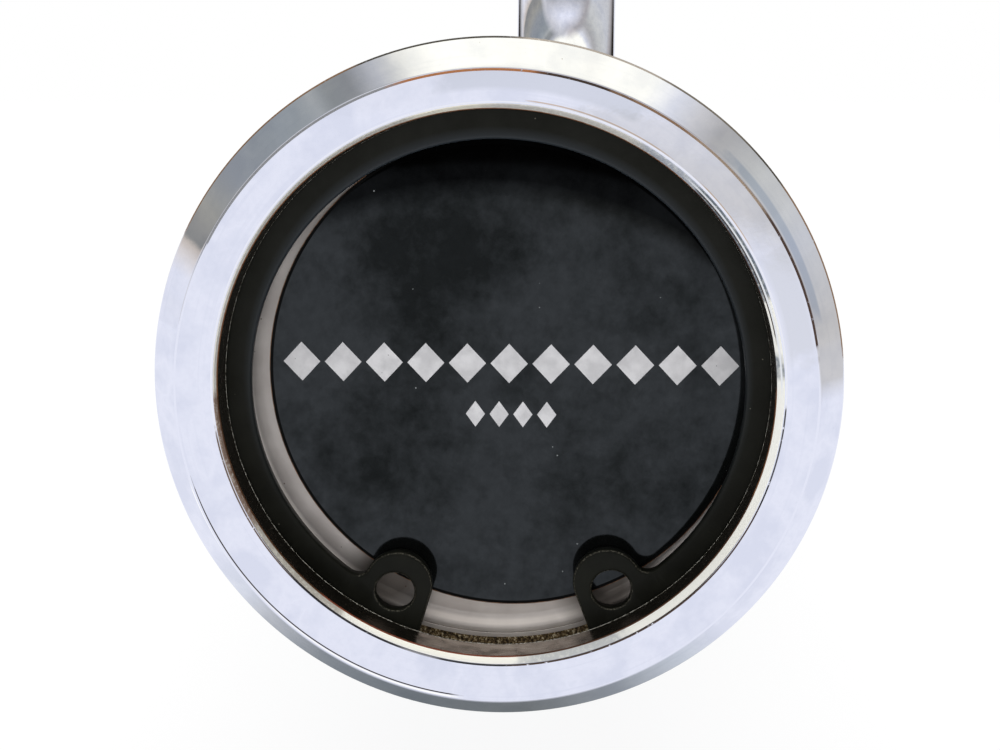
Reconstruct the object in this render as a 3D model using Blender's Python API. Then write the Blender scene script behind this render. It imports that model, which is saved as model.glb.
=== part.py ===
"""Cambered bar: a knurled top bar, two bent risers and two free-turning sleeves.

World frame: X runs along the bar, Z is up and the origin is the middle of the top bar's axis.
The sleeves hang below the top bar by the camber. Each side is built once, with x as the distance
outwards from the middle of the bar, and the left side is the right one turned half round Z.
Units are metres.
"""

import math

import bmesh
import bpy

# Clearances
SEAT_GAP = 0.0003
RUNNING_GAP = 0.0002
GLUE_GAP = 0.0001
RING_SIDE_GAP = 0.0002

# Bent frame
SHAFT_DIAMETER = 0.045
RISER_SPACING = 1.320
CAMBER_DROP = 0.356
BEND_RADIUS = 0.075
TANGENT_LENGTH = 0.010
CENTRE_KNURL_LENGTH = 0.120
SIDE_KNURL_START = 0.200
KNURL_END_MARGIN = 0.055
RING_MARK_POSITION = 0.405
RING_MARK_WIDTH = 0.005
KNURL_RISE = 0.0003
KNURL_RAMP = 0.0006
WELD_BEVEL = 0.004
WELD_ROOT_FACE = 0.0012
WELD_CROWN = 0.0010

# Sleeve, from the photograph
SLEEVE_DIAMETER = 0.050
MOUTH_CHAMFER_RADIAL = 0.00215
MOUTH_CHAMFER_LENGTH = 0.0019
END_WALL = 0.0049
BORE_CHAMFER = 0.0005
RING_DEPTH = 0.0036
RING_THICKNESS = 0.00175
RING_GROOVE_DEPTH = 0.00115
LABEL_RECESS = 0.00025
LABEL_THICKNESS = 0.0004
LABEL_RADIUS = 0.0182
LABEL_SIDE_OFFSET = 0.0009
LABEL_UP_OFFSET = 0.0005
END_PLATE_THICKNESS = 0.0020

# Sleeve, inside
PLATE_SHELF = 0.0011
BUSHING_SHELF = 0.0010
CAVITY_LENGTH = 0.0117
SLEEVE_TAIL = 0.004
LOADABLE_LENGTH = 0.425

# Collar
COLLAR_DIAMETER = 0.080
COLLAR_THICKNESS = 0.014
COLLAR_EDGE = 0.0015
HUB_DIAMETER = 0.060
HUB_LENGTH = 0.008
HUB_EDGE = 0.001
COLLAR_WELD_LEG = 0.0028
COLLAR_WELD_BULGE = 0.0017

# Bearings
BUSHING_WALL = 0.0015
BUSHING_LENGTH = 0.045
BUSHING_FLANGE_THICKNESS = 0.002
THRUST_WASHER_THICKNESS = 0.002
THRUST_RIM_INSET = 0.0015

# Spindle
STUB_LENGTH = 0.006
SPINDLE_FLANGE_THICKNESS = 0.006
SPINDLE_FLANGE_INSET = 0.001
SPINDLE_SHOULDER_SETBACK = 0.0006
TIP_STEP = 0.0035
TIP_OVERHANG = 0.0025
TIP_CHAMFER = 0.0008
CIRCLIP_THICKNESS = 0.0012
CIRCLIP_GROOVE_DEPTH = 0.00055
OUTER_WASHER_THICKNESS = 0.0025

# Retaining rings, seat edge to free edge, and their lugs
RING_WIDTH = 0.00295
RING_TAPER = 0.00035
RING_LUG_REACH = 0.00365
RING_LUG_RADIUS = 0.00262
RING_LUG_HOLE_REACH = 0.0030
RING_LUG_HOLE_RADIUS = 0.0015
RING_NECK_FILLET = 0.0010
RING_LUG_ANGLE = math.radians(27.5)
RING_TURN = math.radians(1.9)
CIRCLIP_WIDTH = 0.0026
CIRCLIP_TAPER = 0.0006
CIRCLIP_LUG_REACH = 0.0028
CIRCLIP_LUG_RADIUS = 0.0018
CIRCLIP_LUG_HOLE_REACH = 0.0028
CIRCLIP_LUG_HOLE_RADIUS = 0.0009
CIRCLIP_NECK_FILLET = 0.0010
CIRCLIP_LUG_ANGLE = math.radians(20.0)
RING_TAPER_START = math.radians(100.0)

# Facets
BAR_SEGMENTS = 32
SLEEVE_SEGMENTS = 48
BEND_STEPS = 7
RING_ARC_STEP = math.radians(7.5)
LUG_ARC_STEP = math.radians(24.0)
SMOOTH_ANGLE = math.radians(30.0)
MERGE_DISTANCE = 1e-6

# Radii, from the sleeve's outside to the spindle
SHAFT_RADIUS = SHAFT_DIAMETER / 2
SLEEVE_RADIUS = SLEEVE_DIAMETER / 2
COLLAR_RADIUS = COLLAR_DIAMETER / 2
HUB_RADIUS = HUB_DIAMETER / 2
END_BORE_RADIUS = SLEEVE_RADIUS - END_WALL
RING_GROOVE_RADIUS = END_BORE_RADIUS + RING_GROOVE_DEPTH
RING_SEAT_RADIUS = RING_GROOVE_RADIUS - SEAT_GAP
CAVITY_RADIUS = END_BORE_RADIUS - PLATE_SHELF
MAIN_BORE_RADIUS = CAVITY_RADIUS - BUSHING_SHELF
BUSHING_OUTER_RADIUS = MAIN_BORE_RADIUS - SEAT_GAP
BUSHING_INNER_RADIUS = BUSHING_OUTER_RADIUS - BUSHING_WALL
SPINDLE_RADIUS = BUSHING_INNER_RADIUS - RUNNING_GAP
TIP_RADIUS = SPINDLE_RADIUS - TIP_STEP
CIRCLIP_GROOVE_RADIUS = TIP_RADIUS - CIRCLIP_GROOVE_DEPTH
CIRCLIP_SEAT_RADIUS = CIRCLIP_GROOVE_RADIUS + RUNNING_GAP
SPINDLE_FLANGE_RADIUS = SLEEVE_RADIUS - SPINDLE_FLANGE_INSET
THRUST_RIM_RADIUS = SLEEVE_RADIUS - THRUST_RIM_INSET

# Places along the bar, from its middle outwards
TOP_JOINT_X = RISER_SPACING / 2 - BEND_RADIUS - TANGENT_LENGTH
SPINDLE_JOINT_X = RISER_SPACING / 2 + BEND_RADIUS + TANGENT_LENGTH
SPINDLE_FLANGE_X = SPINDLE_JOINT_X + SEAT_GAP + STUB_LENGTH
THRUST_SHOULDER_X = SPINDLE_FLANGE_X + SPINDLE_FLANGE_THICKNESS
THRUST_WASHER_X = THRUST_SHOULDER_X + SEAT_GAP
INNER_BUSHING_X = THRUST_WASHER_X + THRUST_WASHER_THICKNESS + SEAT_GAP
SLEEVE_INNER_X = INNER_BUSHING_X + BUSHING_FLANGE_THICKNESS + SEAT_GAP
HUB_X = SLEEVE_INNER_X + SLEEVE_TAIL
COLLAR_X = HUB_X + HUB_LENGTH
PLATE_FACE_X = COLLAR_X + COLLAR_THICKNESS
SLEEVE_END_X = PLATE_FACE_X + LOADABLE_LENGTH

# Depths inwards from the sleeve's end face
GROOVE_DEPTH_START = RING_DEPTH - RING_SIDE_GAP
GROOVE_DEPTH_END = RING_DEPTH + RING_THICKNESS + RING_SIDE_GAP
LABEL_DEPTH = RING_DEPTH + RING_THICKNESS + LABEL_RECESS
END_PLATE_DEPTH = LABEL_DEPTH + LABEL_THICKNESS + GLUE_GAP
PLATE_SHELF_DEPTH = END_PLATE_DEPTH + END_PLATE_THICKNESS + SEAT_GAP
BUSHING_SHELF_DEPTH = PLATE_SHELF_DEPTH + CAVITY_LENGTH
OUTER_BUSHING_DEPTH = BUSHING_SHELF_DEPTH - SEAT_GAP - BUSHING_FLANGE_THICKNESS
OUTER_WASHER_DEPTH = OUTER_BUSHING_DEPTH - SEAT_GAP - OUTER_WASHER_THICKNESS
CIRCLIP_DEPTH = OUTER_WASHER_DEPTH - SEAT_GAP - CIRCLIP_THICKNESS
TIP_DEPTH = CIRCLIP_DEPTH - TIP_OVERHANG
SPINDLE_SHOULDER_DEPTH = OUTER_WASHER_DEPTH + OUTER_WASHER_THICKNESS + SPINDLE_SHOULDER_SETBACK

# Finishes: base colour, metallic, roughness
FINISHES = {
    "chrome": ((0.80, 0.80, 0.84), 1.0, 0.08),
    "knurled_chrome": ((0.66, 0.66, 0.69), 1.0, 0.35),
    "chromed_weld": ((0.70, 0.70, 0.73), 1.0, 0.22),
    "bronze": ((0.60, 0.36, 0.15), 1.0, 0.35),
    "ground_steel": ((0.48, 0.48, 0.49), 1.0, 0.30),
    "zinc_plate": ((0.40, 0.38, 0.38), 1.0, 0.45),
    "black_phosphate": ((0.020, 0.022, 0.018), 0.4, 0.45),
    "gloss_label": ((0.012, 0.013, 0.016), 0.0, 0.08),
}


def clear_scene():
    for obj in list(bpy.data.objects):
        bpy.data.objects.remove(obj, do_unlink=True)


def make_materials():
    materials = {}
    for name, (color, metallic, roughness) in FINISHES.items():
        material = bpy.data.materials.new(name)
        material.use_nodes = True
        shader = material.node_tree.nodes["Principled BSDF"]
        shader.inputs["Base Color"].default_value = (*color, 1.0)
        shader.inputs["Metallic"].default_value = metallic
        shader.inputs["Roughness"].default_value = roughness
        materials[name] = material
    return materials


def finish_mesh(bm, name, material):
    """Turn a bmesh into a smooth-shaded mesh with its faces pointing out."""
    bmesh.ops.remove_doubles(bm, verts=bm.verts, dist=MERGE_DISTANCE)
    bmesh.ops.recalc_face_normals(bm, faces=bm.faces)
    mesh = bpy.data.meshes.new(name)
    bm.to_mesh(mesh)
    bm.free()
    mesh.materials.append(material)
    mesh.shade_smooth()
    mesh.set_sharp_from_angle(angle=SMOOTH_ANGLE)
    return mesh


def turned_mesh(name, profile, material, segments, closed):
    """Spin a profile of (x, radius) points about the X axis.

    A closed profile makes a ring. An open one starts and ends on the axis and makes a solid.
    """
    bm = bmesh.new()
    verts = [bm.verts.new((x, 0.0, radius)) for x, radius in profile]
    edges = [bm.edges.new(pair) for pair in zip(verts, verts[1:])]
    if closed:
        edges.append(bm.edges.new((verts[-1], verts[0])))
    bmesh.ops.spin(
        bm,
        geom=verts + edges,
        cent=(0.0, 0.0, 0.0),
        axis=(1.0, 0.0, 0.0),
        angle=2 * math.pi,
        steps=segments,
        use_merge=True,
    )
    return finish_mesh(bm, name, material)


def arc_angles(start, end, step):
    """Even angles from start to end, both included, about one step apart."""
    count = max(2, math.ceil(abs(end - start) / step))
    return [start + (end - start) * i / count for i in range(count + 1)]


def ring_half_outline(seat_radius, inward, width, taper, lug_reach, lug_radius, fillet, lug_angle):
    """Half of a retaining ring's outline, as (angle from the gap's middle, radius) points.

    The seat edge sits in the groove. The body lies inside it (inward = 1) or outside (inward = -1).
    Each end of the ring is a straight radial edge that touches the lug's circle.
    """
    lug_centre = seat_radius - inward * lug_reach
    neck_radius = seat_radius - inward * (width - taper)
    end_angle = lug_angle - math.asin(lug_radius / lug_centre)

    # The neck fillet touches the lug's circle outside and the free edge from within the gap side
    fillet_centre = neck_radius - inward * fillet
    reach = lug_radius + fillet
    cos_turn = (lug_centre ** 2 + fillet_centre ** 2 - reach ** 2) / (2 * lug_centre * fillet_centre)
    fillet_angle = lug_angle + math.acos(cos_turn)

    def circle_points(centre_radius, centre_angle, radius, start, end):
        points = []
        for turn in arc_angles(start, end, LUG_ARC_STEP):
            along = centre_radius + radius * math.cos(turn)
            across = radius * math.sin(turn)
            points.append((centre_angle + math.atan2(across, along), math.hypot(along, across)))
        return points

    # Directions on the lug and fillet circles, from straight outwards, turning away from the gap
    to_fillet_along = fillet_centre * math.cos(fillet_angle - lug_angle) - lug_centre
    to_fillet_across = fillet_centre * math.sin(fillet_angle - lug_angle)
    to_fillet = math.atan2(to_fillet_across, to_fillet_along)
    lug_start = end_angle - lug_angle - math.pi / 2
    lug_end = to_fillet if inward < 0 else to_fillet - 2 * math.pi
    back_to_lug = to_fillet - (fillet_angle - lug_angle) + math.pi
    seat_side = 0.0 if inward > 0 else math.pi
    fillet_start = math.remainder(back_to_lug - seat_side, 2 * math.pi) + seat_side

    points = [(angle, seat_radius) for angle in arc_angles(math.pi, end_angle, RING_ARC_STEP)]
    points += circle_points(lug_centre, lug_angle, lug_radius, lug_start, lug_end)
    points += circle_points(fillet_centre, fillet_angle, fillet, fillet_start, seat_side)[1:]
    for angle in arc_angles(fillet_angle, math.pi, RING_ARC_STEP)[1:]:
        share = min(1.0, (angle - fillet_angle) / (RING_TAPER_START - fillet_angle))
        grown = width - taper + taper * share * share * (3 - 2 * share)
        points.append((angle, seat_radius - inward * grown))
    return points


def retaining_ring_mesh(name, material, thickness, hole_centre, hole_radius, lug_angle, **shape):
    """A flat ring with a gap and two holed lugs at the bottom, from x = 0 to x = thickness."""
    half = ring_half_outline(lug_angle=lug_angle, **shape)
    outline = half + [(-angle, radius) for angle, radius in reversed(half[1:-1])]
    bm = bmesh.new()
    edges = []
    loops = [[(radius * math.sin(angle), -radius * math.cos(angle)) for angle, radius in outline]]
    for side in (1, -1):
        hole_y = side * hole_centre * math.sin(lug_angle)
        hole_z = -hole_centre * math.cos(lug_angle)
        hole = []
        for turn in arc_angles(0.0, 2 * math.pi, LUG_ARC_STEP)[:-1]:
            hole.append((hole_y + hole_radius * math.cos(turn), hole_z + hole_radius * math.sin(turn)))
        loops.append(hole)
    for loop in loops:
        verts = [bm.verts.new((0.0, y, z)) for y, z in loop]
        edges += [bm.edges.new(pair) for pair in zip(verts, verts[1:] + verts[:1])]
    bmesh.ops.triangle_fill(bm, use_beauty=True, edges=edges)
    raised = bmesh.ops.extrude_face_region(bm, geom=list(bm.faces), use_keep_orig=True)
    moved = [item for item in raised["geom"] if isinstance(item, bmesh.types.BMVert)]
    bmesh.ops.translate(bm, verts=moved, vec=(thickness, 0.0, 0.0))
    return finish_mesh(bm, name, material)


def place(name, mesh, parent=None):
    obj = bpy.data.objects.new(name, mesh)
    bpy.context.scene.collection.objects.link(obj)
    obj.parent = parent
    return obj


def knurl_band(start, end):
    """Profile points of one raised band between two places along the bar."""
    raised = SHAFT_RADIUS + KNURL_RISE
    return [
        (start, SHAFT_RADIUS),
        (start + KNURL_RAMP, raised),
        (end - KNURL_RAMP, raised),
        (end, SHAFT_RADIUS),
    ]


def top_bar_mesh(material):
    """Straight bar with a centre knurl, two side knurls split by ring marks, and bevelled ends."""
    mark_start = RING_MARK_POSITION - RING_MARK_WIDTH / 2
    mark_end = RING_MARK_POSITION + RING_MARK_WIDTH / 2
    right = [(CENTRE_KNURL_LENGTH / 2 - KNURL_RAMP, SHAFT_RADIUS + KNURL_RISE)]
    right.append((CENTRE_KNURL_LENGTH / 2, SHAFT_RADIUS))
    right += knurl_band(SIDE_KNURL_START, mark_start)
    right += knurl_band(mark_end, TOP_JOINT_X - KNURL_END_MARGIN)
    right.append((TOP_JOINT_X - WELD_BEVEL, SHAFT_RADIUS))
    right.append((TOP_JOINT_X - WELD_ROOT_FACE, SHAFT_RADIUS - WELD_BEVEL + WELD_ROOT_FACE))
    right.append((TOP_JOINT_X, SHAFT_RADIUS - WELD_BEVEL + WELD_ROOT_FACE))
    right.append((TOP_JOINT_X, 0.0))
    left = [(-x, radius) for x, radius in reversed(right)]
    return turned_mesh("top_bar", left + right, material, BAR_SEGMENTS, closed=False)


def extrude_loop(bm, edges, offset, growth):
    """Extrude a loop of edges by an offset along X and scale it about its own middle."""
    result = bmesh.ops.extrude_edge_only(bm, edges=edges)["geom"]
    verts = [item for item in result if isinstance(item, bmesh.types.BMVert)]
    centre_z = sum(vert.co.z for vert in verts) / len(verts)
    for vert in verts:
        vert.co.x += offset
        vert.co.y *= growth
        vert.co.z = centre_z + (vert.co.z - centre_z) * growth
    return [item for item in result if isinstance(item, bmesh.types.BMEdge)]


def riser_mesh(material):
    """Bar bent twice: out of the top bar, down by the camber and outwards to the spindle."""
    root_radius = SHAFT_RADIUS - WELD_BEVEL + WELD_ROOT_FACE
    bevel_length = WELD_BEVEL - WELD_ROOT_FACE
    growth = SHAFT_RADIUS / root_radius
    start_x = TOP_JOINT_X + SEAT_GAP
    bm = bmesh.new()
    for turn in range(BAR_SEGMENTS):
        angle = 2 * math.pi * turn / BAR_SEGMENTS
        bm.verts.new((start_x, root_radius * math.sin(angle), root_radius * math.cos(angle)))
    bm.verts.ensure_lookup_table()
    edges = [bm.edges.new((bm.verts[i - 1], bm.verts[i])) for i in range(BAR_SEGMENTS)]
    edges = extrude_loop(bm, edges, WELD_ROOT_FACE, 1.0)
    edges = extrude_loop(bm, edges, bevel_length, growth)
    edges = extrude_loop(bm, edges, TANGENT_LENGTH - WELD_BEVEL - SEAT_GAP, 1.0)

    bend_x = RISER_SPACING / 2 - BEND_RADIUS
    edges = bend_loop(bm, edges, (bend_x, 0.0, -BEND_RADIUS), math.pi / 2)
    drop = bmesh.ops.extrude_edge_only(bm, edges=edges)["geom"]
    verts = [item for item in drop if isinstance(item, bmesh.types.BMVert)]
    bmesh.ops.translate(bm, verts=verts, vec=(0.0, 0.0, 2 * BEND_RADIUS - CAMBER_DROP))
    edges = [item for item in drop if isinstance(item, bmesh.types.BMEdge)]
    bend_x = RISER_SPACING / 2 + BEND_RADIUS
    edges = bend_loop(bm, edges, (bend_x, 0.0, BEND_RADIUS - CAMBER_DROP), -math.pi / 2)

    edges = extrude_loop(bm, edges, TANGENT_LENGTH - WELD_BEVEL, 1.0)
    edges = extrude_loop(bm, edges, bevel_length, 1 / growth)
    extrude_loop(bm, edges, WELD_ROOT_FACE, 1.0)
    open_edges = [edge for edge in bm.edges if edge.is_boundary]
    bmesh.ops.holes_fill(bm, edges=open_edges, sides=0)
    return finish_mesh(bm, "riser", material)


def bend_loop(bm, edges, centre, angle):
    """Spin a loop of edges about a Y axis through centre, and return the last loop's edges."""
    verts = list({vert for edge in edges for vert in edge.verts})
    spun = bmesh.ops.spin(
        bm,
        geom=verts + edges,
        cent=centre,
        axis=(0.0, 1.0, 0.0),
        angle=angle,
        steps=BEND_STEPS,
    )
    return [item for item in spun["geom_last"] if isinstance(item, bmesh.types.BMEdge)]


def butt_weld_profile(joint_x):
    """Weld metal that fills the bevels of two butted bars and stands a little proud."""
    middle = joint_x + SEAT_GAP / 2
    root = SHAFT_RADIUS - WELD_BEVEL + WELD_ROOT_FACE + SEAT_GAP
    half_root = WELD_ROOT_FACE
    half_top = WELD_BEVEL + SEAT_GAP
    crown = SHAFT_RADIUS + WELD_CROWN
    foot = SHAFT_RADIUS + SEAT_GAP
    return [
        (middle - half_root, root),
        (middle - half_top + SEAT_GAP, foot),
        (middle - half_top / 2, crown),
        (middle + half_top / 2, crown),
        (middle + half_top - SEAT_GAP, foot),
        (middle + half_root, root),
    ]


def spindle_profile():
    """Axle from the riser's weld to the grooved tip inside the sleeve's mouth."""
    root_radius = SHAFT_RADIUS - WELD_BEVEL + WELD_ROOT_FACE
    start_x = SPINDLE_JOINT_X + SEAT_GAP
    shoulder_x = SLEEVE_END_X - SPINDLE_SHOULDER_DEPTH
    groove_inner_x = SLEEVE_END_X - CIRCLIP_DEPTH - CIRCLIP_THICKNESS - RING_SIDE_GAP
    groove_outer_x = SLEEVE_END_X - CIRCLIP_DEPTH + RING_SIDE_GAP
    tip_x = SLEEVE_END_X - TIP_DEPTH
    return [
        (start_x, 0.0),
        (start_x, root_radius),
        (start_x + WELD_ROOT_FACE, root_radius),
        (start_x + WELD_BEVEL, SHAFT_RADIUS),
        (SPINDLE_FLANGE_X, SHAFT_RADIUS),
        (SPINDLE_FLANGE_X, SPINDLE_FLANGE_RADIUS),
        (THRUST_SHOULDER_X, SPINDLE_FLANGE_RADIUS),
        (THRUST_SHOULDER_X, SPINDLE_RADIUS),
        (shoulder_x, SPINDLE_RADIUS),
        (shoulder_x, TIP_RADIUS),
        (groove_inner_x, TIP_RADIUS),
        (groove_inner_x, CIRCLIP_GROOVE_RADIUS),
        (groove_outer_x, CIRCLIP_GROOVE_RADIUS),
        (groove_outer_x, TIP_RADIUS),
        (tip_x - TIP_CHAMFER, TIP_RADIUS),
        (tip_x, TIP_RADIUS - TIP_CHAMFER),
        (tip_x, 0.0),
    ]


def sleeve_profile():
    """Tube with a chamfered mouth, ring groove, plate shelf, bushing shelf and plain inner end."""
    end = SLEEVE_END_X
    return [
        (SLEEVE_INNER_X, SLEEVE_RADIUS),
        (end - MOUTH_CHAMFER_LENGTH, SLEEVE_RADIUS),
        (end, SLEEVE_RADIUS - MOUTH_CHAMFER_RADIAL),
        (end, END_BORE_RADIUS + BORE_CHAMFER),
        (end - BORE_CHAMFER, END_BORE_RADIUS),
        (end - GROOVE_DEPTH_START, END_BORE_RADIUS),
        (end - GROOVE_DEPTH_START, RING_GROOVE_RADIUS),
        (end - GROOVE_DEPTH_END, RING_GROOVE_RADIUS),
        (end - GROOVE_DEPTH_END, END_BORE_RADIUS),
        (end - PLATE_SHELF_DEPTH, END_BORE_RADIUS),
        (end - PLATE_SHELF_DEPTH, CAVITY_RADIUS),
        (end - BUSHING_SHELF_DEPTH, CAVITY_RADIUS),
        (end - BUSHING_SHELF_DEPTH, MAIN_BORE_RADIUS),
        (SLEEVE_INNER_X, MAIN_BORE_RADIUS),
    ]


def collar_profile():
    """Plate stop with a hub on the riser's side, slid on the sleeve."""
    bore = SLEEVE_RADIUS + SEAT_GAP
    return [
        (HUB_X, bore),
        (HUB_X, HUB_RADIUS - HUB_EDGE),
        (HUB_X + HUB_EDGE, HUB_RADIUS),
        (COLLAR_X, HUB_RADIUS),
        (COLLAR_X, COLLAR_RADIUS - COLLAR_EDGE),
        (COLLAR_X + COLLAR_EDGE, COLLAR_RADIUS),
        (PLATE_FACE_X - COLLAR_EDGE, COLLAR_RADIUS),
        (PLATE_FACE_X, COLLAR_RADIUS - COLLAR_EDGE),
        (PLATE_FACE_X, bore),
    ]


def collar_weld_profile():
    """Fillet weld in the corner between the collar's hub and the sleeve's tail."""
    foot_x = HUB_X - SEAT_GAP
    foot_radius = SLEEVE_RADIUS + SEAT_GAP
    return [
        (foot_x, foot_radius),
        (foot_x, foot_radius + COLLAR_WELD_LEG),
        (foot_x - COLLAR_WELD_BULGE, foot_radius + COLLAR_WELD_BULGE),
        (foot_x - COLLAR_WELD_LEG, foot_radius),
    ]


def ring_profile(start_x, end_x, inner_radius, outer_radius):
    return [
        (start_x, inner_radius),
        (start_x, outer_radius),
        (end_x, outer_radius),
        (end_x, inner_radius),
    ]


def disc_profile(start_x, end_x, radius):
    return [(start_x, 0.0), (start_x, radius), (end_x, radius), (end_x, 0.0)]


def bushing_profile(flange_x, body_direction, flange_radius):
    """Flanged bushing: the flange starts at flange_x and the body runs on in body_direction."""
    shelf_x = flange_x + body_direction * BUSHING_FLANGE_THICKNESS
    end_x = shelf_x + body_direction * BUSHING_LENGTH
    return [
        (flange_x, BUSHING_INNER_RADIUS),
        (flange_x, flange_radius),
        (shelf_x, flange_radius),
        (shelf_x, BUSHING_OUTER_RADIUS),
        (end_x, BUSHING_OUTER_RADIUS),
        (end_x, BUSHING_INNER_RADIUS),
    ]


def frame_piece_meshes(materials):
    """The fixed pieces of one side, by name."""
    washer_x = SLEEVE_END_X - OUTER_WASHER_DEPTH - OUTER_WASHER_THICKNESS
    thrust_washer = ring_profile(
        THRUST_WASHER_X,
        THRUST_WASHER_X + THRUST_WASHER_THICKNESS,
        BUSHING_INNER_RADIUS,
        THRUST_RIM_RADIUS,
    )
    outer_washer = ring_profile(
        washer_x,
        washer_x + OUTER_WASHER_THICKNESS,
        TIP_RADIUS + RUNNING_GAP,
        MAIN_BORE_RADIUS,
    )
    rings = {
        "top_weld": (butt_weld_profile(TOP_JOINT_X), "chromed_weld"),
        "spindle_weld": (butt_weld_profile(SPINDLE_JOINT_X), "chromed_weld"),
        "inner_thrust_washer": (thrust_washer, "ground_steel"),
        "outer_thrust_washer": (outer_washer, "ground_steel"),
    }
    meshes = {"riser": riser_mesh(materials["chrome"])}
    for name, (profile, finish) in rings.items():
        meshes[name] = turned_mesh(name, profile, materials[finish], BAR_SEGMENTS, closed=True)
    meshes["spindle"] = turned_mesh(
        "spindle", spindle_profile(), materials["ground_steel"], BAR_SEGMENTS, closed=False
    )
    meshes["spindle_circlip"] = retaining_ring_mesh(
        "spindle_circlip",
        materials["black_phosphate"],
        CIRCLIP_THICKNESS,
        CIRCLIP_SEAT_RADIUS + CIRCLIP_LUG_HOLE_REACH,
        CIRCLIP_LUG_HOLE_RADIUS,
        CIRCLIP_LUG_ANGLE,
        seat_radius=CIRCLIP_SEAT_RADIUS,
        inward=-1,
        width=CIRCLIP_WIDTH,
        taper=CIRCLIP_TAPER,
        lug_reach=CIRCLIP_LUG_REACH,
        lug_radius=CIRCLIP_LUG_RADIUS,
        fillet=CIRCLIP_NECK_FILLET,
    )
    return meshes


def sleeve_piece_meshes(materials):
    """The pieces of one side that turn with the sleeve, by name."""
    inner_bushing = bushing_profile(INNER_BUSHING_X, 1, THRUST_RIM_RADIUS)
    outer_bushing = bushing_profile(SLEEVE_END_X - OUTER_BUSHING_DEPTH, -1, CAVITY_RADIUS - SEAT_GAP)
    rings = {
        "sleeve": (sleeve_profile(), "chrome"),
        "sleeve_collar": (collar_profile(), "chrome"),
        "collar_weld": (collar_weld_profile(), "chromed_weld"),
        "inner_bushing": (inner_bushing, "bronze"),
        "outer_bushing": (outer_bushing, "bronze"),
    }
    plate_x = SLEEVE_END_X - END_PLATE_DEPTH
    label_x = SLEEVE_END_X - LABEL_DEPTH
    discs = {
        "end_plate": (
            disc_profile(plate_x - END_PLATE_THICKNESS, plate_x, END_BORE_RADIUS - SEAT_GAP),
            "zinc_plate",
        ),
        "end_label": (disc_profile(label_x - LABEL_THICKNESS, label_x, LABEL_RADIUS), "gloss_label"),
    }
    meshes = {}
    for name, (profile, finish) in rings.items():
        segments = BAR_SEGMENTS if "bushing" in name else SLEEVE_SEGMENTS
        meshes[name] = turned_mesh(name, profile, materials[finish], segments, closed=True)
    for name, (profile, finish) in discs.items():
        meshes[name] = turned_mesh(name, profile, materials[finish], SLEEVE_SEGMENTS, closed=False)
    meshes["retaining_ring"] = retaining_ring_mesh(
        "retaining_ring",
        materials["black_phosphate"],
        RING_THICKNESS,
        RING_SEAT_RADIUS - RING_LUG_HOLE_REACH,
        RING_LUG_HOLE_RADIUS,
        RING_LUG_ANGLE,
        seat_radius=RING_SEAT_RADIUS,
        inward=1,
        width=RING_WIDTH,
        taper=RING_TAPER,
        lug_reach=RING_LUG_REACH,
        lug_radius=RING_LUG_RADIUS,
        fillet=RING_NECK_FILLET,
    )
    return meshes


def axis_empty(name, location, turn):
    empty = bpy.data.objects.new(name, None)
    empty.location = location
    empty.rotation_euler = (0.0, 0.0, turn)
    bpy.context.scene.collection.objects.link(empty)
    return empty


def build_side(side, turn, frame_meshes, sleeve_meshes):
    """Place one side's pieces, each with its origin on the axis it was turned about."""
    top_axis = axis_empty(f"{side}_top_axis", (0.0, 0.0, 0.0), turn)
    sleeve_axis = axis_empty(f"{side}_sleeve_axis", (0.0, 0.0, -CAMBER_DROP), turn)
    own_x = {
        "spindle_circlip": SLEEVE_END_X - CIRCLIP_DEPTH - CIRCLIP_THICKNESS,
        "retaining_ring": SLEEVE_END_X - RING_DEPTH - RING_THICKNESS,
    }
    for name, mesh in {**frame_meshes, **sleeve_meshes}.items():
        on_top_axis = name in ("riser", "top_weld")
        piece = place(f"{side}_{name}", mesh, top_axis if on_top_axis else sleeve_axis)
        piece.location.x = own_x.get(name, 0.0)
        if name == "end_label":
            piece.location.y = LABEL_SIDE_OFFSET
            piece.location.z = LABEL_UP_OFFSET
        if name == "retaining_ring":
            piece.rotation_euler.x = RING_TURN


def main():
    clear_scene()
    materials = make_materials()
    place("top_bar", top_bar_mesh(materials["knurled_chrome"]))
    frame_meshes = frame_piece_meshes(materials)
    sleeve_meshes = sleeve_piece_meshes(materials)
    build_side("right", 0.0, frame_meshes, sleeve_meshes)
    build_side("left", math.pi, frame_meshes, sleeve_meshes)


main()
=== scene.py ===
import math

import bmesh
import bpy
from mathutils import Matrix, Vector, noise


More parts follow.
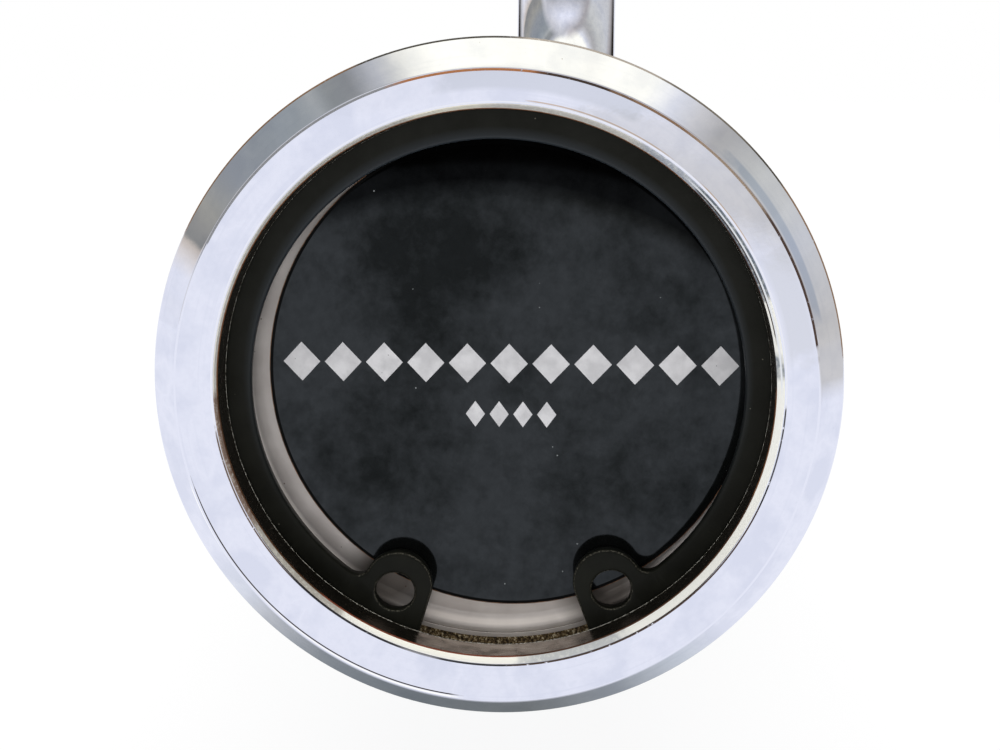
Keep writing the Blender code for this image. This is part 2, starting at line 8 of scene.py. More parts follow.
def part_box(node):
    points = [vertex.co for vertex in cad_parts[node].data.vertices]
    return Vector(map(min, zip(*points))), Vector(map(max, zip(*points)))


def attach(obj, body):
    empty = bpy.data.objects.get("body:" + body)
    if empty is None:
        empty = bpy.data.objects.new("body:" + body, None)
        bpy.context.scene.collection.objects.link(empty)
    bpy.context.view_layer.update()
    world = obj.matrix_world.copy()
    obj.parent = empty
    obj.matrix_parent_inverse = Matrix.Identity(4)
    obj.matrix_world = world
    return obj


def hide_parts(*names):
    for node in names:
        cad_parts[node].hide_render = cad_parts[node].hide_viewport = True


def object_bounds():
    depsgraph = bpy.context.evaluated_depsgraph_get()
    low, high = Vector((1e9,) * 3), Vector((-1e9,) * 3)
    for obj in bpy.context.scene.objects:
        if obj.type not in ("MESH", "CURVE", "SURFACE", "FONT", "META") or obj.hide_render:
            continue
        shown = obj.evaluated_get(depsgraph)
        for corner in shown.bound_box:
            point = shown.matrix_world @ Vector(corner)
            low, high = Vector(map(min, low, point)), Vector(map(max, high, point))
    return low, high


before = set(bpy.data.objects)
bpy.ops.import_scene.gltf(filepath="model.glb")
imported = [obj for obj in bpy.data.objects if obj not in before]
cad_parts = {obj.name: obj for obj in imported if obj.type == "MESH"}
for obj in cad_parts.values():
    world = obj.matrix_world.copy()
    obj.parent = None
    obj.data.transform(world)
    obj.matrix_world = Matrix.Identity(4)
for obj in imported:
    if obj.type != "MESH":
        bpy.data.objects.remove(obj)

cad_low, cad_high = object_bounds()

# Each side of the bar is modelled on the right and turned about Z to its place
SIDES = {"right": 0.0, "left": math.pi}


# Sizes read from the frame, in metres


def inner_x(node):
    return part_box(f"right_{node}")[0].x


def outer_x(node):
    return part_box(f"right_{node}")[1].x


def outer_radius(node):
    low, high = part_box(f"right_{node}")
    return (high.y - low.y) / 2


AXIS_Z = (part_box("right_sleeve")[0].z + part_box("right_sleeve")[1].z) / 2
SLEEVE_RADIUS = outer_radius("sleeve")
SLEEVE_INNER_X = inner_x("sleeve")
SLEEVE_END_X = outer_x("sleeve")
RING_BACK_X = inner_x("retaining_ring")
RING_FRONT_X = outer_x("retaining_ring")
LABEL_BACK_X = inner_x("end_label")
LABEL_FRONT_X = outer_x("end_label")
LABEL_RADIUS = outer_radius("end_label")
LABEL_CENTRE = (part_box("right_end_label")[0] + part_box("right_end_label")[1]) / 2
PLATE_BACK_X = inner_x("end_plate")
PLATE_FRONT_X = outer_x("end_plate")
PLATE_RADIUS = outer_radius("end_plate")
HUB_X = inner_x("sleeve_collar")
PLATE_STOP_X = outer_x("sleeve_collar")
COLLAR_RADIUS = outer_radius("sleeve_collar")
SPINDLE_START_X = inner_x("spindle")
SPINDLE_TIP_X = outer_x("spindle")
SPINDLE_FLANGE_RADIUS = outer_radius("spindle")
TOP_END_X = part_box("top_bar")[1].x
KNURL_CREST_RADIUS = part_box("top_bar")[1].z

# Sleeve's wall
MOUTH_CHAMFER_RADIAL = 0.0019
MOUTH_CHAMFER_LENGTH = 0.0016
MOUTH_EDGE_SOFTNESS = 0.00015
OUTER_EDGE_SOFTNESS = 0.00018
END_BORE_RADIUS = 0.0201
BORE_CHAMFER_LENGTH = 0.00045
BORE_CHAMFER_START_RADIUS = 0.02042
BORE_CHAMFER_END_RADIUS = 0.0200
BORE_LIP_SOFTNESS = 0.00009
GROOVE_LIP_SOFTNESS = 0.00008
GROOVE_BURR_WIDTH = 0.0002
GROOVE_CLEAN_RADIUS = 0.02045
RING_SIDE_GAP = 0.0002
RING_GROOVE_DEPTH = 0.00115
PLATE_RIM_RADIUS = 0.02009
PLATE_RIM_INNER_RADIUS = 0.0196
PLATE_RIM_FOOT_RADIUS = 0.0190
PLATE_SHELF = 0.0011
SHELF_GAP = 0.0003
MAIN_BORE_RADIUS = 0.0180
CAVITY_LENGTH = 0.0117

# Retaining ring
RING_SEAT_RADIUS = 0.02095
RING_WIDTH = 0.00295
RING_TAPER = 0.0005
RING_LUG_REACH = 0.00365
RING_LUG_RADIUS = 0.00262
RING_LUG_HOLE_REACH = 0.0030
RING_LUG_HOLE_RADIUS = 0.0015
RING_NECK_FILLET = 0.0010
RING_LUG_ANGLE = math.radians(27.5)
RING_TAPER_START = math.radians(170.0)
RING_TURN = math.radians(1.9)
RING_FRONT_ROLL = 0.00026
RING_UNDERCUT = 0.0003
RING_UNDERCUT_DEPTH = 0.0011

# Label: flat, with its top bent back beyond an arc
LABEL_BEND_CENTRE_Y = -0.0020
LABEL_BEND_CENTRE_Z = -0.0156
LABEL_BEND_RADIUS = 0.02965
LABEL_TOP_THICKNESS = 0.00003
LABEL_BEND_POWER = 1.6
GLUE_WIDTH = 0.00005
CUT_EDGE_WIDTH = 0.00022

# Collar and bearings
HUB_RADIUS = 0.030
HUB_LENGTH = 0.008
SEAT_GAP = 0.0003
COLLAR_WELD_LEG = 0.0028
SPINDLE_RADIUS = 0.0160
SPINDLE_TIP_RADIUS = 0.0125
SPINDLE_FLANGE_THICKNESS = 0.006
SPINDLE_SHOULDER_SETBACK = 0.0006
CIRCLIP_GROOVE_RADIUS = 0.01195
BUSHING_BORE_RADIUS = 0.0162
BUSHING_FLANGE_THICKNESS = 0.002
BUSHING_BODY_RADIUS = 0.0177

# Bent frame
SHAFT_RADIUS = 0.0225
RISER_X = 0.660
BEND_RADIUS = 0.075
WELD_BEVEL = 0.004
WELD_ROOT_FACE = 0.0012
WELD_CROWN = 0.0006
CENTRE_KNURL_END = 0.060
SIDE_KNURL_START = 0.200
SIDE_KNURL_END = 0.520
RING_MARK_X = 0.405
RING_MARK_WIDTH = 0.005
KNURL_RAMP = 0.0006
KNURL_VALLEY_RADIUS = 0.0223

# Camera, from the photograph: its place as seen from the sleeve's end, its lens and its framing
CAMERA_DISTANCE = 0.096
CAMERA_ELEVATION = math.radians(12.42)
CAMERA_AZIMUTH = math.radians(3.53)
PIXELS_PER_METRE_AT_FACE = 14040.0
FACE_CENTRE_PIXEL = (492.6, 397.6)
IMAGE_SIZE = (1000.0, 750.0)
SENSOR_WIDTH = 36.0


# Meshes

# Facets round a turned piece
STEPS_SLEEVE = 224
STEPS_COLLAR = 192
STEPS_LABEL = 192
STEPS_PLATE = 160
STEPS_BEARING = 128
STEPS_COLLAR_WELD = 276
STEPS_BUTT_WELD = 264

# Edges that turn by more degrees than this stay sharp
SHARP_EDGE = 30.0
SHARP_RING_EDGE = 45.0
SHARP_WELD_EDGE = 60.0
SHARP_KNURL_EDGE = 12.0

# Distance under which two places in a mesh count as one
SAME_PLACE = 1e-7
NEAR = 1e-5


def turned(profile, steps, axis_z=AXIS_Z):
    """Spin a profile of (x, radius, softness) corners about the bar's axis.

    Each corner is rounded by its softness first. A profile that meets the axis makes a solid.
    """
    bm = bmesh.new()
    corners = [bm.verts.new((x, 0.0, radius)) for x, radius, _ in profile]
    bm.faces.new(corners)
    for corner, (_, _, softness) in zip(corners, profile):
        if softness:
            bmesh.ops.bevel(
                bm,
                geom=[corner],
                offset=softness,
                segments=5,
                profile=0.5,
                affect="VERTICES",
                material=-1,
            )
    bmesh.ops.delete(bm, geom=bm.faces[:], context="FACES_ONLY")
    on_axis = [edge for edge in bm.edges if all(abs(vert.co.z) < SAME_PLACE for vert in edge.verts)]
    bmesh.ops.delete(bm, geom=on_axis, context="EDGES")
    bmesh.ops.spin(
        bm,
        geom=bm.verts[:] + bm.edges[:],
        cent=(0.0, 0.0, 0.0),
        axis=(1.0, 0.0, 0.0),
        angle=2 * math.pi,
        steps=steps,
        use_merge=True,
    )
    bmesh.ops.remove_doubles(bm, verts=bm.verts, dist=SAME_PLACE)
    bmesh.ops.recalc_face_normals(bm, faces=bm.faces)
    bmesh.ops.translate(bm, verts=bm.verts, vec=(0.0, 0.0, axis_z))
    return bm


def radius_of(co, axis_z=AXIS_Z):
    return math.hypot(co.y, co.z - axis_z)


def angle_of(co, axis_z=AXIS_Z):
    return math.atan2(co.z - axis_z, co.y)


def finish_piece(bm, name, body, materials, turn, smooth_angle=SHARP_EDGE, weighted=True):
    """Turn a bmesh to its side of the bar and make it a piece that rides on a body."""
    bmesh.ops.rotate(bm, verts=bm.verts, cent=(0, 0, 0), matrix=Matrix.Rotation(turn, 3, "Z"))
    mesh = bpy.data.meshes.new(name)
    bm.to_mesh(mesh)
    bm.free()
    for material in materials:
        mesh.materials.append(material)
    mesh.shade_smooth()
    mesh.set_sharp_from_angle(angle=math.radians(smooth_angle))
    piece = bpy.data.objects.new(name, mesh)
    bpy.context.scene.collection.objects.link(piece)
    if weighted:
        modifier = piece.modifiers.new("flat_faces_stay_flat", "WEIGHTED_NORMAL")
        modifier.keep_sharp = True
    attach(piece, body)
    return piece


# Materials

# An arc fades in and out over this many degrees of the mouth. The arcs and marks below were
# matched to the photograph. Part of them, in the bore band and along the edges, are painted
# reflections rather than stains.
ARC_FADE = 1.5


def linear(hex_colour):
    """An sRGB hex colour as linear RGBA."""
    channels = [int(hex_colour[i : i + 2], 16) / 255 for i in (1, 3, 5)]
    return (*[c / 12.92 if c <= 0.04045 else ((c + 0.055) / 1.055) ** 2.4 for c in channels], 1.0)


def add_node(tree, kind, settings=None, inputs=None):
    """Add a node, set its properties, set or link its inputs, and return its first output."""
    node = tree.nodes.new(kind)
    for key, value in (settings or {}).items():
        setattr(node, key, value)
    for key, value in (inputs or {}).items():
        if isinstance(value, bpy.types.NodeSocket):
            tree.links.new(value, node.inputs[key])
        else:
            node.inputs[key].default_value = value
    return next((socket for socket in node.outputs if socket.enabled), None)


def new_material(name, **sockets):
    """A Principled material with its constant sockets set."""
    material = bpy.data.materials.new(name)
    material.use_nodes = True
    tree = material.node_tree
    shader = tree.nodes["Principled BSDF"]
    for key, value in sockets.items():
        shader.inputs[key.replace("_", " ")].default_value = value
    return material, tree, shader


def from_sleeve_axis(tree):
    """Object coordinates, moved so that the sleeves' axis is the X axis."""
    place = add_node(tree, "ShaderNodeTexCoord").node.outputs["Object"]
    return add_node(tree, "ShaderNodeVectorMath", {"operation": "SUBTRACT"}, {0: place, 1: (0, 0, AXIS_Z)})


def stretched(tree, place, factors):
    return add_node(tree, "ShaderNodeVectorMath", {"operation": "MULTIPLY"}, {0: place, 1: factors})


def grain(tree, place, size_mm, detail=3.0, roughness=0.5):
    """Noise whose blotches are about size_mm across."""
    inputs = {"Vector": place, "Scale": 1000.0 / size_mm, "Detail": detail, "Roughness": roughness}
    return add_node(tree, "ShaderNodeTexNoise", inputs=inputs)


def ramp(tree, value, *stops):
    """Colour ramp through (position, hex colour) stops."""
    socket = add_node(tree, "ShaderNodeValToRGB", inputs={"Fac": value})
    elements = socket.node.color_ramp.elements
    for element, (position, colour) in zip(elements, (stops[0], stops[-1])):
        element.position = position
        element.color = linear(colour)
    for position, colour in stops[1:-1]:
        elements.new(position).color = linear(colour)
    return socket


def remap(tree, value, low, high, to_low=0.0, to_high=1.0):
    inputs = {"Value": value, "From Min": low, "From Max": high, "To Min": to_low, "To Max": to_high}
    return add_node(tree, "ShaderNodeMapRange", inputs=inputs)


def mixed(tree, factor, first, second):
    """Mix two colours, each a socket or a hex colour."""
    node = tree.nodes.new("ShaderNodeMix")
    node.data_type = "RGBA"
    for key, value in (("Factor", factor), ("A", first), ("B", second)):
        socket = next(socket for socket in node.inputs if socket.name == key and socket.enabled)
        if isinstance(value, bpy.types.NodeSocket):
            tree.links.new(value, socket)
        else:
            socket.default_value = linear(value)
    return next(socket for socket in node.outputs if socket.enabled)


def specks(tree, place, spacing_mm, size_share, shift=0.0):
    """1 on sparse round specks, 0 between them."""
    moved = add_node(tree, "ShaderNodeVectorMath", {"operation": "ADD"}, {0: place, 1: (shift,) * 3})
    cells = add_node(tree, "ShaderNodeTexVoronoi", inputs={"Vector": moved, "Scale": 1000.0 / spacing_mm})
    return remap(tree, cells, size_share, size_share * 0.6)


def bump(tree, shader, height, depth_mm):
    normal = add_node(tree, "ShaderNodeBump", inputs={"Height": height, "Distance": depth_mm / 1000.0})
    tree.links.new(normal, shader.inputs["Normal"])


def link(tree, shader, **sockets):
    for key, value in sockets.items():
        tree.links.new(value, shader.inputs[key.replace("_", " ")])


def distance_from_axis(tree, place):
    """Distance from the X axis."""
    flat = stretched(tree, place, (0.0, 1.0, 1.0))
    return add_node(tree, "ShaderNodeVectorMath", {"operation": "LENGTH"}, {0: flat})


def product(tree, first, second):
    return add_node(tree, "ShaderNodeMath", {"operation": "MULTIPLY"}, {0: first, 1: second})


def around_axis(tree, place, across_mm):
    """Coordinates that run in circles about the X axis, one unit for each across_mm of radius."""
    flat = stretched(tree, place, (0.0, 1.0, 1.0))
    radius = add_node(tree, "ShaderNodeVectorMath", {"operation": "LENGTH"}, {0: flat})
    direction = add_node(tree, "ShaderNodeVectorMath", {"operation": "NORMALIZE"}, {0: flat})
    rings = product(tree, radius, 1000.0 / across_mm)
    outwards = add_node(tree, "ShaderNodeCombineXYZ", inputs={"X": rings})
    return add_node(tree, "ShaderNodeVectorMath", {"operation": "ADD"}, {0: outwards, 1: direction})


def distance_from(tree, place, y, z):
    """Distance from a line along X through (y, z)."""
    flat = stretched(tree, place, (0.0, 1.0, 1.0))
    inputs = {0: flat, 1: (0.0, y, z)}
    return add_node(tree, "ShaderNodeVectorMath", {"operation": "DISTANCE"}, inputs)


def turn_share(tree, place):
    """Share of a turn about the X axis, from +Y upwards, with a slight wander."""
    parts = add_node(tree, "ShaderNodeSeparateXYZ", inputs={"Vector": place}).node.outputs
    turn = add_node(tree, "ShaderNodeMath", {"operation": "ARCTAN2"}, {0: parts["Z"], 1: parts["Y"]})
    wander = remap(tree, grain(tree, place, 1.5), 0.3, 0.7, -0.005, 0.005)
    inputs = {0: turn, 1: 0.5 / math.pi, 2: wander}
    share = add_node(tree, "ShaderNodeMath", {"operation": "MULTIPLY_ADD"}, inputs)
    return add_node(tree, "ShaderNodeMath", {"operation": "FRACT"}, {0: share})


def marked(tree, place, colour, marks):
    """Draw marks that run part of the way round: (radius, width, start, end, colour) each."""
    share = turn_share(tree, place)
    for radius, width, start, end, mark in marks:
        from_axis = distance_from(tree, place, 0.0, 0.0)
        off = add_node(tree, "ShaderNodeMath", {"operation": "SUBTRACT"}, {0: from_axis, 1: radius})
        off = add_node(tree, "ShaderNodeMath", {"operation": "ABSOLUTE"}, {0: off})
        across = remap(tree, off, 0.5 * width, 0.3 * width)
        begun = remap(tree, share, (start - ARC_FADE) / 360, (start + ARC_FADE) / 360)
        lasting = remap(tree, share, (end + ARC_FADE) / 360, (end - ARC_FADE) / 360)
        colour = mixed(tree, product(tree, across, product(tree, begun, lasting)), colour, mark)
    return colour


def hard_chrome(name, light, dark, haze, marks=()):
    """Hard chrome plate on turned steel: a cool mirror, a little cloudy, with faint circling streaks."""
    material, tree, shader = new_material(name, Metallic=1.0)
    place = from_sleeve_axis(tree)
    cloud = grain(tree, place, 5.0, 4.0, 0.6)
    circles = around_axis(tree, place, 0.35)
    streak = add_node(tree, "ShaderNodeTexNoise", inputs={"Vector": circles, "Scale": 1.0, "Detail": 3.0})
    tint = ramp(tree, cloud, (0.36, dark), (0.5, light), (0.64, dark))
    streaked = mixed(tree, remap(tree, streak, 0.56, 0.7, 0.0, 0.5), tint, dark)
    speckled = mixed(tree, specks(tree, place, 3.4, 0.018), streaked, "#B4B2B8")
    link(
        tree,
        shader,
        Base_Color=marked(tree, place, speckled, marks),
        Roughness=remap(tree, cloud, 0.3, 0.7, *haze),
    )
    bump(tree, shader, grain(tree, place, 0.5, 2.0), 0.0012)
    return material


def arc_ramp(tree, place, plating, arcs):
    """Plating with stains and painted reflections on (start, end, colour) arcs; arcs that touch blend into
    each other.
    """
    joints = {start for start, _, _ in arcs} & {end for _, end, _ in arcs}
    stops = []
    for start, end, colour in arcs:
        if start not in joints:
            stops.append((start, plating))
        stops += [(start + ARC_FADE, colour), (end - ARC_FADE, colour)]
        if end not in joints:
            stops.append((end, plating))
    return ramp(tree, turn_share(tree, place), *[(angle / 360, colour) for angle, colour in stops])


def edge_chrome(name, plating, broken, arcs):
    """Thin plating on a sharp edge, worn through, stained and given painted reflections on some arcs of
    the mouth.

    Each arc is (start, end, colour), in degrees from the +Y side upwards. Broken is how much of
    the stain has flaked off again.
    """
    material, tree, shader = new_material(name)
    place = from_sleeve_axis(tree)
    stain = arc_ramp(tree, place, plating, arcs)
    flaked = remap(tree, grain(tree, place, 0.35, 2.0, 0.7), 0.62 - broken, 0.72 - broken)
    colour = mixed(tree, flaked, stain, plating)
    bright = add_node(tree, "ShaderNodeRGBToBW", inputs={"Color": colour})
    link(
        tree,
        shader,
        Base_Color=colour,
        Metallic=remap(tree, bright, 0.25, 0.6, 0.3, 1.0),
        Roughness=remap(tree, bright, 0.25, 0.6, 0.5, 0.1),
    )
    return material


def dull_chrome(arcs, marks):
    """Chrome over a filed edge: part mirror, part matt, cream, with painted glints and arcs of stains and
    painted reflections.
    """
    material, tree, shader = new_material("chrome_over_filed_edge", Metallic=0.3, Roughness=0.28)
    place = from_sleeve_axis(tree)
    stain = arc_ramp(tree, place, "#FFFFFA", arcs)
    painted_glints = remap(tree, grain(tree, place, 0.3, 3.0, 0.7), 0.5, 0.68, 0.0, 0.4)
    with_painted_glints = mixed(tree, painted_glints, stain, "#FFFFF8")
    link(tree, shader, Base_Color=marked(tree, place, with_painted_glints, marks))
    return material


def speckled_burr():
    """Raw cut edge of the ring groove: bright burrs with black grease between them."""
    material, tree, shader = new_material("cut_steel_burr", Metallic=0.2, Roughness=0.6)
    crumbs = grain(tree, from_sleeve_axis(tree), 0.22, 2.0, 0.7)
    tint = ramp(tree, crumbs, (0.4, "#2A251C"), (0.48, "#8C887C"), (0.58, "#E9E7DE"))
    link(tree, shader, Base_Color=tint)
    return material


def turned_bore_steel():
    """Bare steel bored on a lathe, dulled brown: fine tool lines run round it."""
    material, tree, shader = new_material("bored_bare_steel", Metallic=1.0)
    place = from_sleeve_axis(tree)
    lines = grain(tree, stretched(tree, place, (14.0, 1.0, 1.0)), 1.6, 4.0, 0.7)
    stain = grain(tree, place, 1.4)
    base = ramp(tree, lines, (0.3, "#978C83"), (0.55, "#BBB0A6"), (0.75, "#DED8D0"))
    link(
        tree,
        shader,
        Base_Color=mixed(tree, remap(tree, stain, 0.5, 0.75, 0.0, 0.6), base, "#4A3D31"),
        Roughness=remap(tree, stain, 0.3, 0.7, 0.16, 0.3),
    )
    bump(tree, shader, lines, 0.01)
    return material


def dusty_groove_steel():
    """The ring groove's wall: brass-brown grease with bright crumbs of swarf in it."""
    material, tree, shader = new_material("dusty_groove_steel", Metallic=0.5, Roughness=0.5)
    crumbs = grain(tree, from_sleeve_axis(tree), 0.22, 2.0, 0.7)
    tint = ramp(tree, crumbs, (0.36, "#2A2116"), (0.5, "#6B5A41"), (0.58, "#A08A62"), (0.66, "#EFE6CC"))
    link(tree, shader, Base_Color=tint)
    bump(tree, shader, crumbs, 0.12)
    return material


def black_phosphate(name, worn):
    """Spring steel, stamped and phosphated black: satin, with painted shade on its lower part and a
    painted bluish highlight along its inner edge above the lugs.
    """
    material, tree, shader = new_material(name)
    place = from_sleeve_axis(tree)
    cloud = grain(tree, place, 3.0, 5.0, 0.6)
    # Painted shade: the coat is darker on the lower part, round the lugs, than above them.
    lit_upper_coat = ramp(tree, cloud, (0.35, "#191A16"), (0.65, "#222320"))
    shaded_lower_coat = ramp(tree, cloud, (0.35, "#10110D"), (0.65, "#191A15"))
    radius = distance_from_axis(tree, place)
    inner_edge = RING_SEAT_RADIUS - RING_WIDTH
    near_edge = remap(tree, radius, inner_edge + 0.0009, inner_edge + 0.0001)
    parts = add_node(tree, "ShaderNodeSeparateXYZ", inputs={"Vector": place}).node.outputs
    above_lugs = remap(tree, parts["Z"], -0.013, 0.004)
    # Painted bluish highlight along the inner edge above the lugs; it also raises the specular level
    # there.
    painted_edge_highlight = product(tree, near_edge, above_lugs)
    colour = mixed(tree, painted_edge_highlight, mixed(tree, above_lugs, shaded_lower_coat, lit_upper_coat), "#242A30")
    colour = mixed(tree, specks(tree, place, 1.5, 0.03, 0.7), colour, "#8E8B80")
    if worn:
        bare = remap(tree, grain(tree, place, 0.13, 3.0, 0.7), 0.48, 0.62, 0.0, 0.4)
        colour = mixed(tree, bare, colour, "#8A867A")
        link(tree, shader, Metallic=bare)
    link(
        tree,
        shader,
        Base_Color=colour,
        Roughness=remap(tree, cloud, 0.3, 0.7, 0.34, 0.48),
        Specular_IOR_Level=remap(tree, painted_edge_highlight, 0.0, 1.0, 0.1, 0.26),
    )
    bump(tree, shader, grain(tree, place, 0.12, 2.0), 0.003)
    return material


# Places on the plate, seen through the holes of the ring's lugs, where painted shadow of the lugs darkens
# it
LUG_SHADOW_PATCHES = ((-0.0086, -0.0157), (0.0081, -0.0162))


def satin_zinc_plate():
    """Pressed steel disc, dull zinc plated: satin, with rust specks, and painted shadow behind the ring's
    lugs.
    """
    material, tree, shader = new_material("satin_zinc_plate", Metallic=0.55)
    place = from_sleeve_axis(tree)
    cloud = grain(tree, place, 4.0)
    base = ramp(tree, cloud, (0.35, "#CFC8C5"), (0.65, "#E6E0DD"))
    rings = add_node(
        tree,
        "ShaderNodeTexWave",
        {"wave_type": "RINGS", "rings_direction": "X"},
        {"Vector": place, "Scale": 900.0, "Distortion": 2.0, "Detail": 2.0},
    )
    for lug_shadow_y, lug_shadow_z in LUG_SHADOW_PATCHES:
        painted_lug_shadow = remap(tree, distance_from(tree, place, lug_shadow_y, lug_shadow_z), 0.0042, 0.0016)
        base = mixed(tree, painted_lug_shadow, base, "#746D68")
    link(
        tree,
        shader,
        Base_Color=mixed(tree, specks(tree, place, 1.1, 0.06, 0.3), base, "#4E2F1C"),
        Roughness=remap(tree, cloud, 0.3, 0.7, 0.42, 0.52),
    )
    bump(tree, shader, rings.node.outputs["Fac"], 0.0006)
    return material


# Patches where the label's haze is weaker and the label darker: place of the middle, reach and strength
WEAK_HAZE_PATCHES = (
    (-0.0052, 0.0085, 0.0066, 0.19),
    (-0.0085, -0.0035, 0.0055, 0.11),
    (0.0020, 0.0205, 0.0105, 0.13),
)


def gloss_label():
    """Black vinyl label under clear gloss: hazy with fine scuffs, darker in patches of weaker haze, and
    painted shadow of the sleeve's lip over its bent top.
    """
    material, tree, shader = new_material("gloss_black_vinyl", Specular_Tint=linear("#E7F2FF"))
    place = from_sleeve_axis(tree)
    smudge = grain(tree, place, 7.0, 9.0, 0.72)
    haze = smudge
    for weak_haze_y, weak_haze_z, reach, amount in WEAK_HAZE_PATCHES:
        weak_haze = remap(tree, distance_from(tree, place, weak_haze_y, weak_haze_z), reach * 1.3, reach * 0.5)
        haze = add_node(
            tree, "ShaderNodeMath", {"operation": "MULTIPLY_ADD"}, {0: weak_haze, 1: -amount, 2: haze}
        )
    film = ramp(tree, haze, (0.36, "#080A08"), (0.56, "#0B0C0C"))
    # Painted shadow of the sleeve's upper lip: beyond the bend the film is near black and its gloss falls
    # to a fifth.
    bend_y = LABEL_CENTRE.y + LABEL_BEND_CENTRE_Y
    bend_z = LABEL_CENTRE.z - AXIS_Z + LABEL_BEND_CENTRE_Z
    bend = distance_from(tree, place, bend_y, bend_z)
    painted_lip_shadow = remap(tree, bend, LABEL_BEND_RADIUS - 0.0010, LABEL_BEND_RADIUS + 0.0006)
    film = mixed(tree, painted_lip_shadow, film, "#030303")
    scuffs = remap(tree, grain(tree, place, 0.9, 5.0, 0.7), 0.3, 0.7, 0.85, 1.15)
    gloss = product(tree, remap(tree, haze, 0.3, 0.56, 0.15, 0.45), scuffs)
    gloss = product(tree, gloss, remap(tree, painted_lip_shadow, 0.0, 1.0, 1.0, 0.2))
    link(
        tree,
        shader,
        Base_Color=mixed(tree, specks(tree, place, 2.4, 0.03, 0.2), film, "#8A8E90"),
        Roughness=remap(tree, smudge, 0.35, 0.7, 0.05, 0.14),
        Specular_IOR_Level=gloss,
    )
    bump(tree, shader, grain(tree, place, 2.5, 2.0), 0.002)
    return material


def stained_edge():
    """Glue squeezed out round the label, stained brown by rust."""
    material, tree, shader = new_material("rust_stained_glue", Roughness=0.6)
    stain = grain(tree, from_sleeve_axis(tree), 0.6)
    link(tree, shader, Base_Color=ramp(tree, stain, (0.35, "#4A3426"), (0.65, "#8A6244")))
    return material


def cut_edge():
    """Cut edge of the vinyl, rolled over: matt black."""
    material, tree, shader = new_material("black_vinyl_cut_edge", Roughness=0.5, Specular_IOR_Level=0.08)
    grime = grain(tree, from_sleeve_axis(tree), 1.5)
    link(tree, shader, Base_Color=ramp(tree, grime, (0.4, "#020202"), (0.7, "#0B0B0C")))
    return material


def pale_ink():
    """Screen-printed pale ink, thick and matt, with pinholes."""
    material, tree, shader = new_material("pale_screen_ink", Roughness=0.45, Specular_IOR_Level=0.3)
    place = from_sleeve_axis(tree)
    film = ramp(tree, grain(tree, place, 1.2), (0.35, "#D0D0D4"), (0.65, "#E6E6EA"))
    link(tree, shader, Base_Color=mixed(tree, specks(tree, place, 0.9, 0.05, 0.5), film, "#3A3A3C"))
    return material


def sintered_bronze():
    """Oil-filled sintered bronze, turned: warm and satin, with dark pores."""
    material, tree, shader = new_material("sintered_bronze", Metallic=1.0)
    place = from_sleeve_axis(tree)
    cloud = grain(tree, place, 2.0)
    base = ramp(tree, cloud, (0.35, "#A2743C"), (0.65, "#C8975A"))
    link(
        tree,
        shader,
        Base_Color=mixed(tree, specks(tree, place, 0.4, 0.12), base, "#5A3B1C"),
        Roughness=remap(tree, cloud, 0.3, 0.7, 0.26, 0.4),
    )
    return material


def ground_steel():
    """Ground and oiled steel: fine lines run round it."""
    material, tree, shader = new_material("ground_oiled_steel", Metallic=1.0)
    lines = grain(tree, stretched(tree, from_sleeve_axis(tree), (20.0, 1.0, 1.0)), 3.0, 3.0, 0.6)
    link(
        tree,
        shader,
        Base_Color=ramp(tree, lines, (0.35, "#9A9A9E"), (0.65, "#C2C2C6")),
        Roughness=remap(tree, lines, 0.3, 0.7, 0.2, 0.34),
    )
    bump(tree, shader, lines, 0.003)
    return material


def knurled_chrome():
    """Chrome over cut knurling: bright crests, and darker, duller valleys."""
    material, tree, shader = new_material("chromed_knurling", Metallic=1.0)
    place = add_node(tree, "ShaderNodeTexCoord").node.outputs["Object"]
    crest = remap(tree, distance_from_axis(tree, place), KNURL_VALLEY_RADIUS, SHAFT_RADIUS)
    bright = ramp(tree, grain(tree, place, 5.0, 4.0), (0.36, "#D6D6E2"), (0.64, "#E4E4F0"))
    link(
        tree,
        shader,
        Base_Color=mixed(tree, crest, "#77736E", bright),
        Roughness=remap(tree, crest, 0.0, 1.0, 0.4, 0.1),
    )
    return material


# Polished plating: its light and dark clouds, and the roughness between them
PLATING_LIGHT = "#E1E4F4"
PLATING_DARK = "#D6DAEC"
PLATING_HAZE = (0.035, 0.075)

chrome = hard_chrome("hard_chrome_polished", PLATING_LIGHT, PLATING_DARK, PLATING_HAZE)
mouth_chrome = hard_chrome(
    "hard_chrome_marked_at_mouth",
    PLATING_LIGHT,
    PLATING_DARK,
    PLATING_HAZE,
    # Marks: darker bands on the face and chamfer, a dark tool line with a painted white highlight beside
    # it, and two brownish stains by the bore.
    (
        (0.02190, 0.0024, 8, 28, "#D3D6E3"),
        (0.02220, 0.0018, 62, 99, "#CFD3E2"),
        (0.02336, 0.0007, 15, 46, "#BEC7DF"),
        (0.02303, 0.00012, 197, 263, "#3A3430"),
        (0.02320, 0.00022, 197, 263, "#FFFFFF"),
        (0.02078, 0.00012, 32, 47, "#CDBBB0"),
        (0.02078, 0.00012, 56, 84, "#C8B8B0"),
    ),
)
bore_band_chrome = dull_chrome(
    # These arcs are stains and painted reflections together; the greys and creams are mostly painted
    # reflection.
    (
        (5, 9, "#8A929C"),
        (20, 47, "#6A7480"),
        (47, 60, "#B4BAC6"),
        (60, 92, "#D6D4D0"),
        (92, 106, "#F6F2E4"),
        (106, 150, "#CCCAC4"),
        (150, 180, "#E0DED8"),
        (180, 208, "#8C766A"),
        (208, 236, "#B8B4AC"),
        (276, 300, "#C6C9CC"),
    ),
    # A painted highlight line at the bore's edge, and a dark brown stain line just inside it.
    (
        (0.02038, 0.00014, 2, 50, "#F4F8FF"),
        (0.02028, 0.00009, 12, 47, "#3A2824"),
    ),
)
weld_chrome = hard_chrome("hard_chrome_over_weld", "#D6D8E4", "#C6C8D4", (0.12, 0.2))
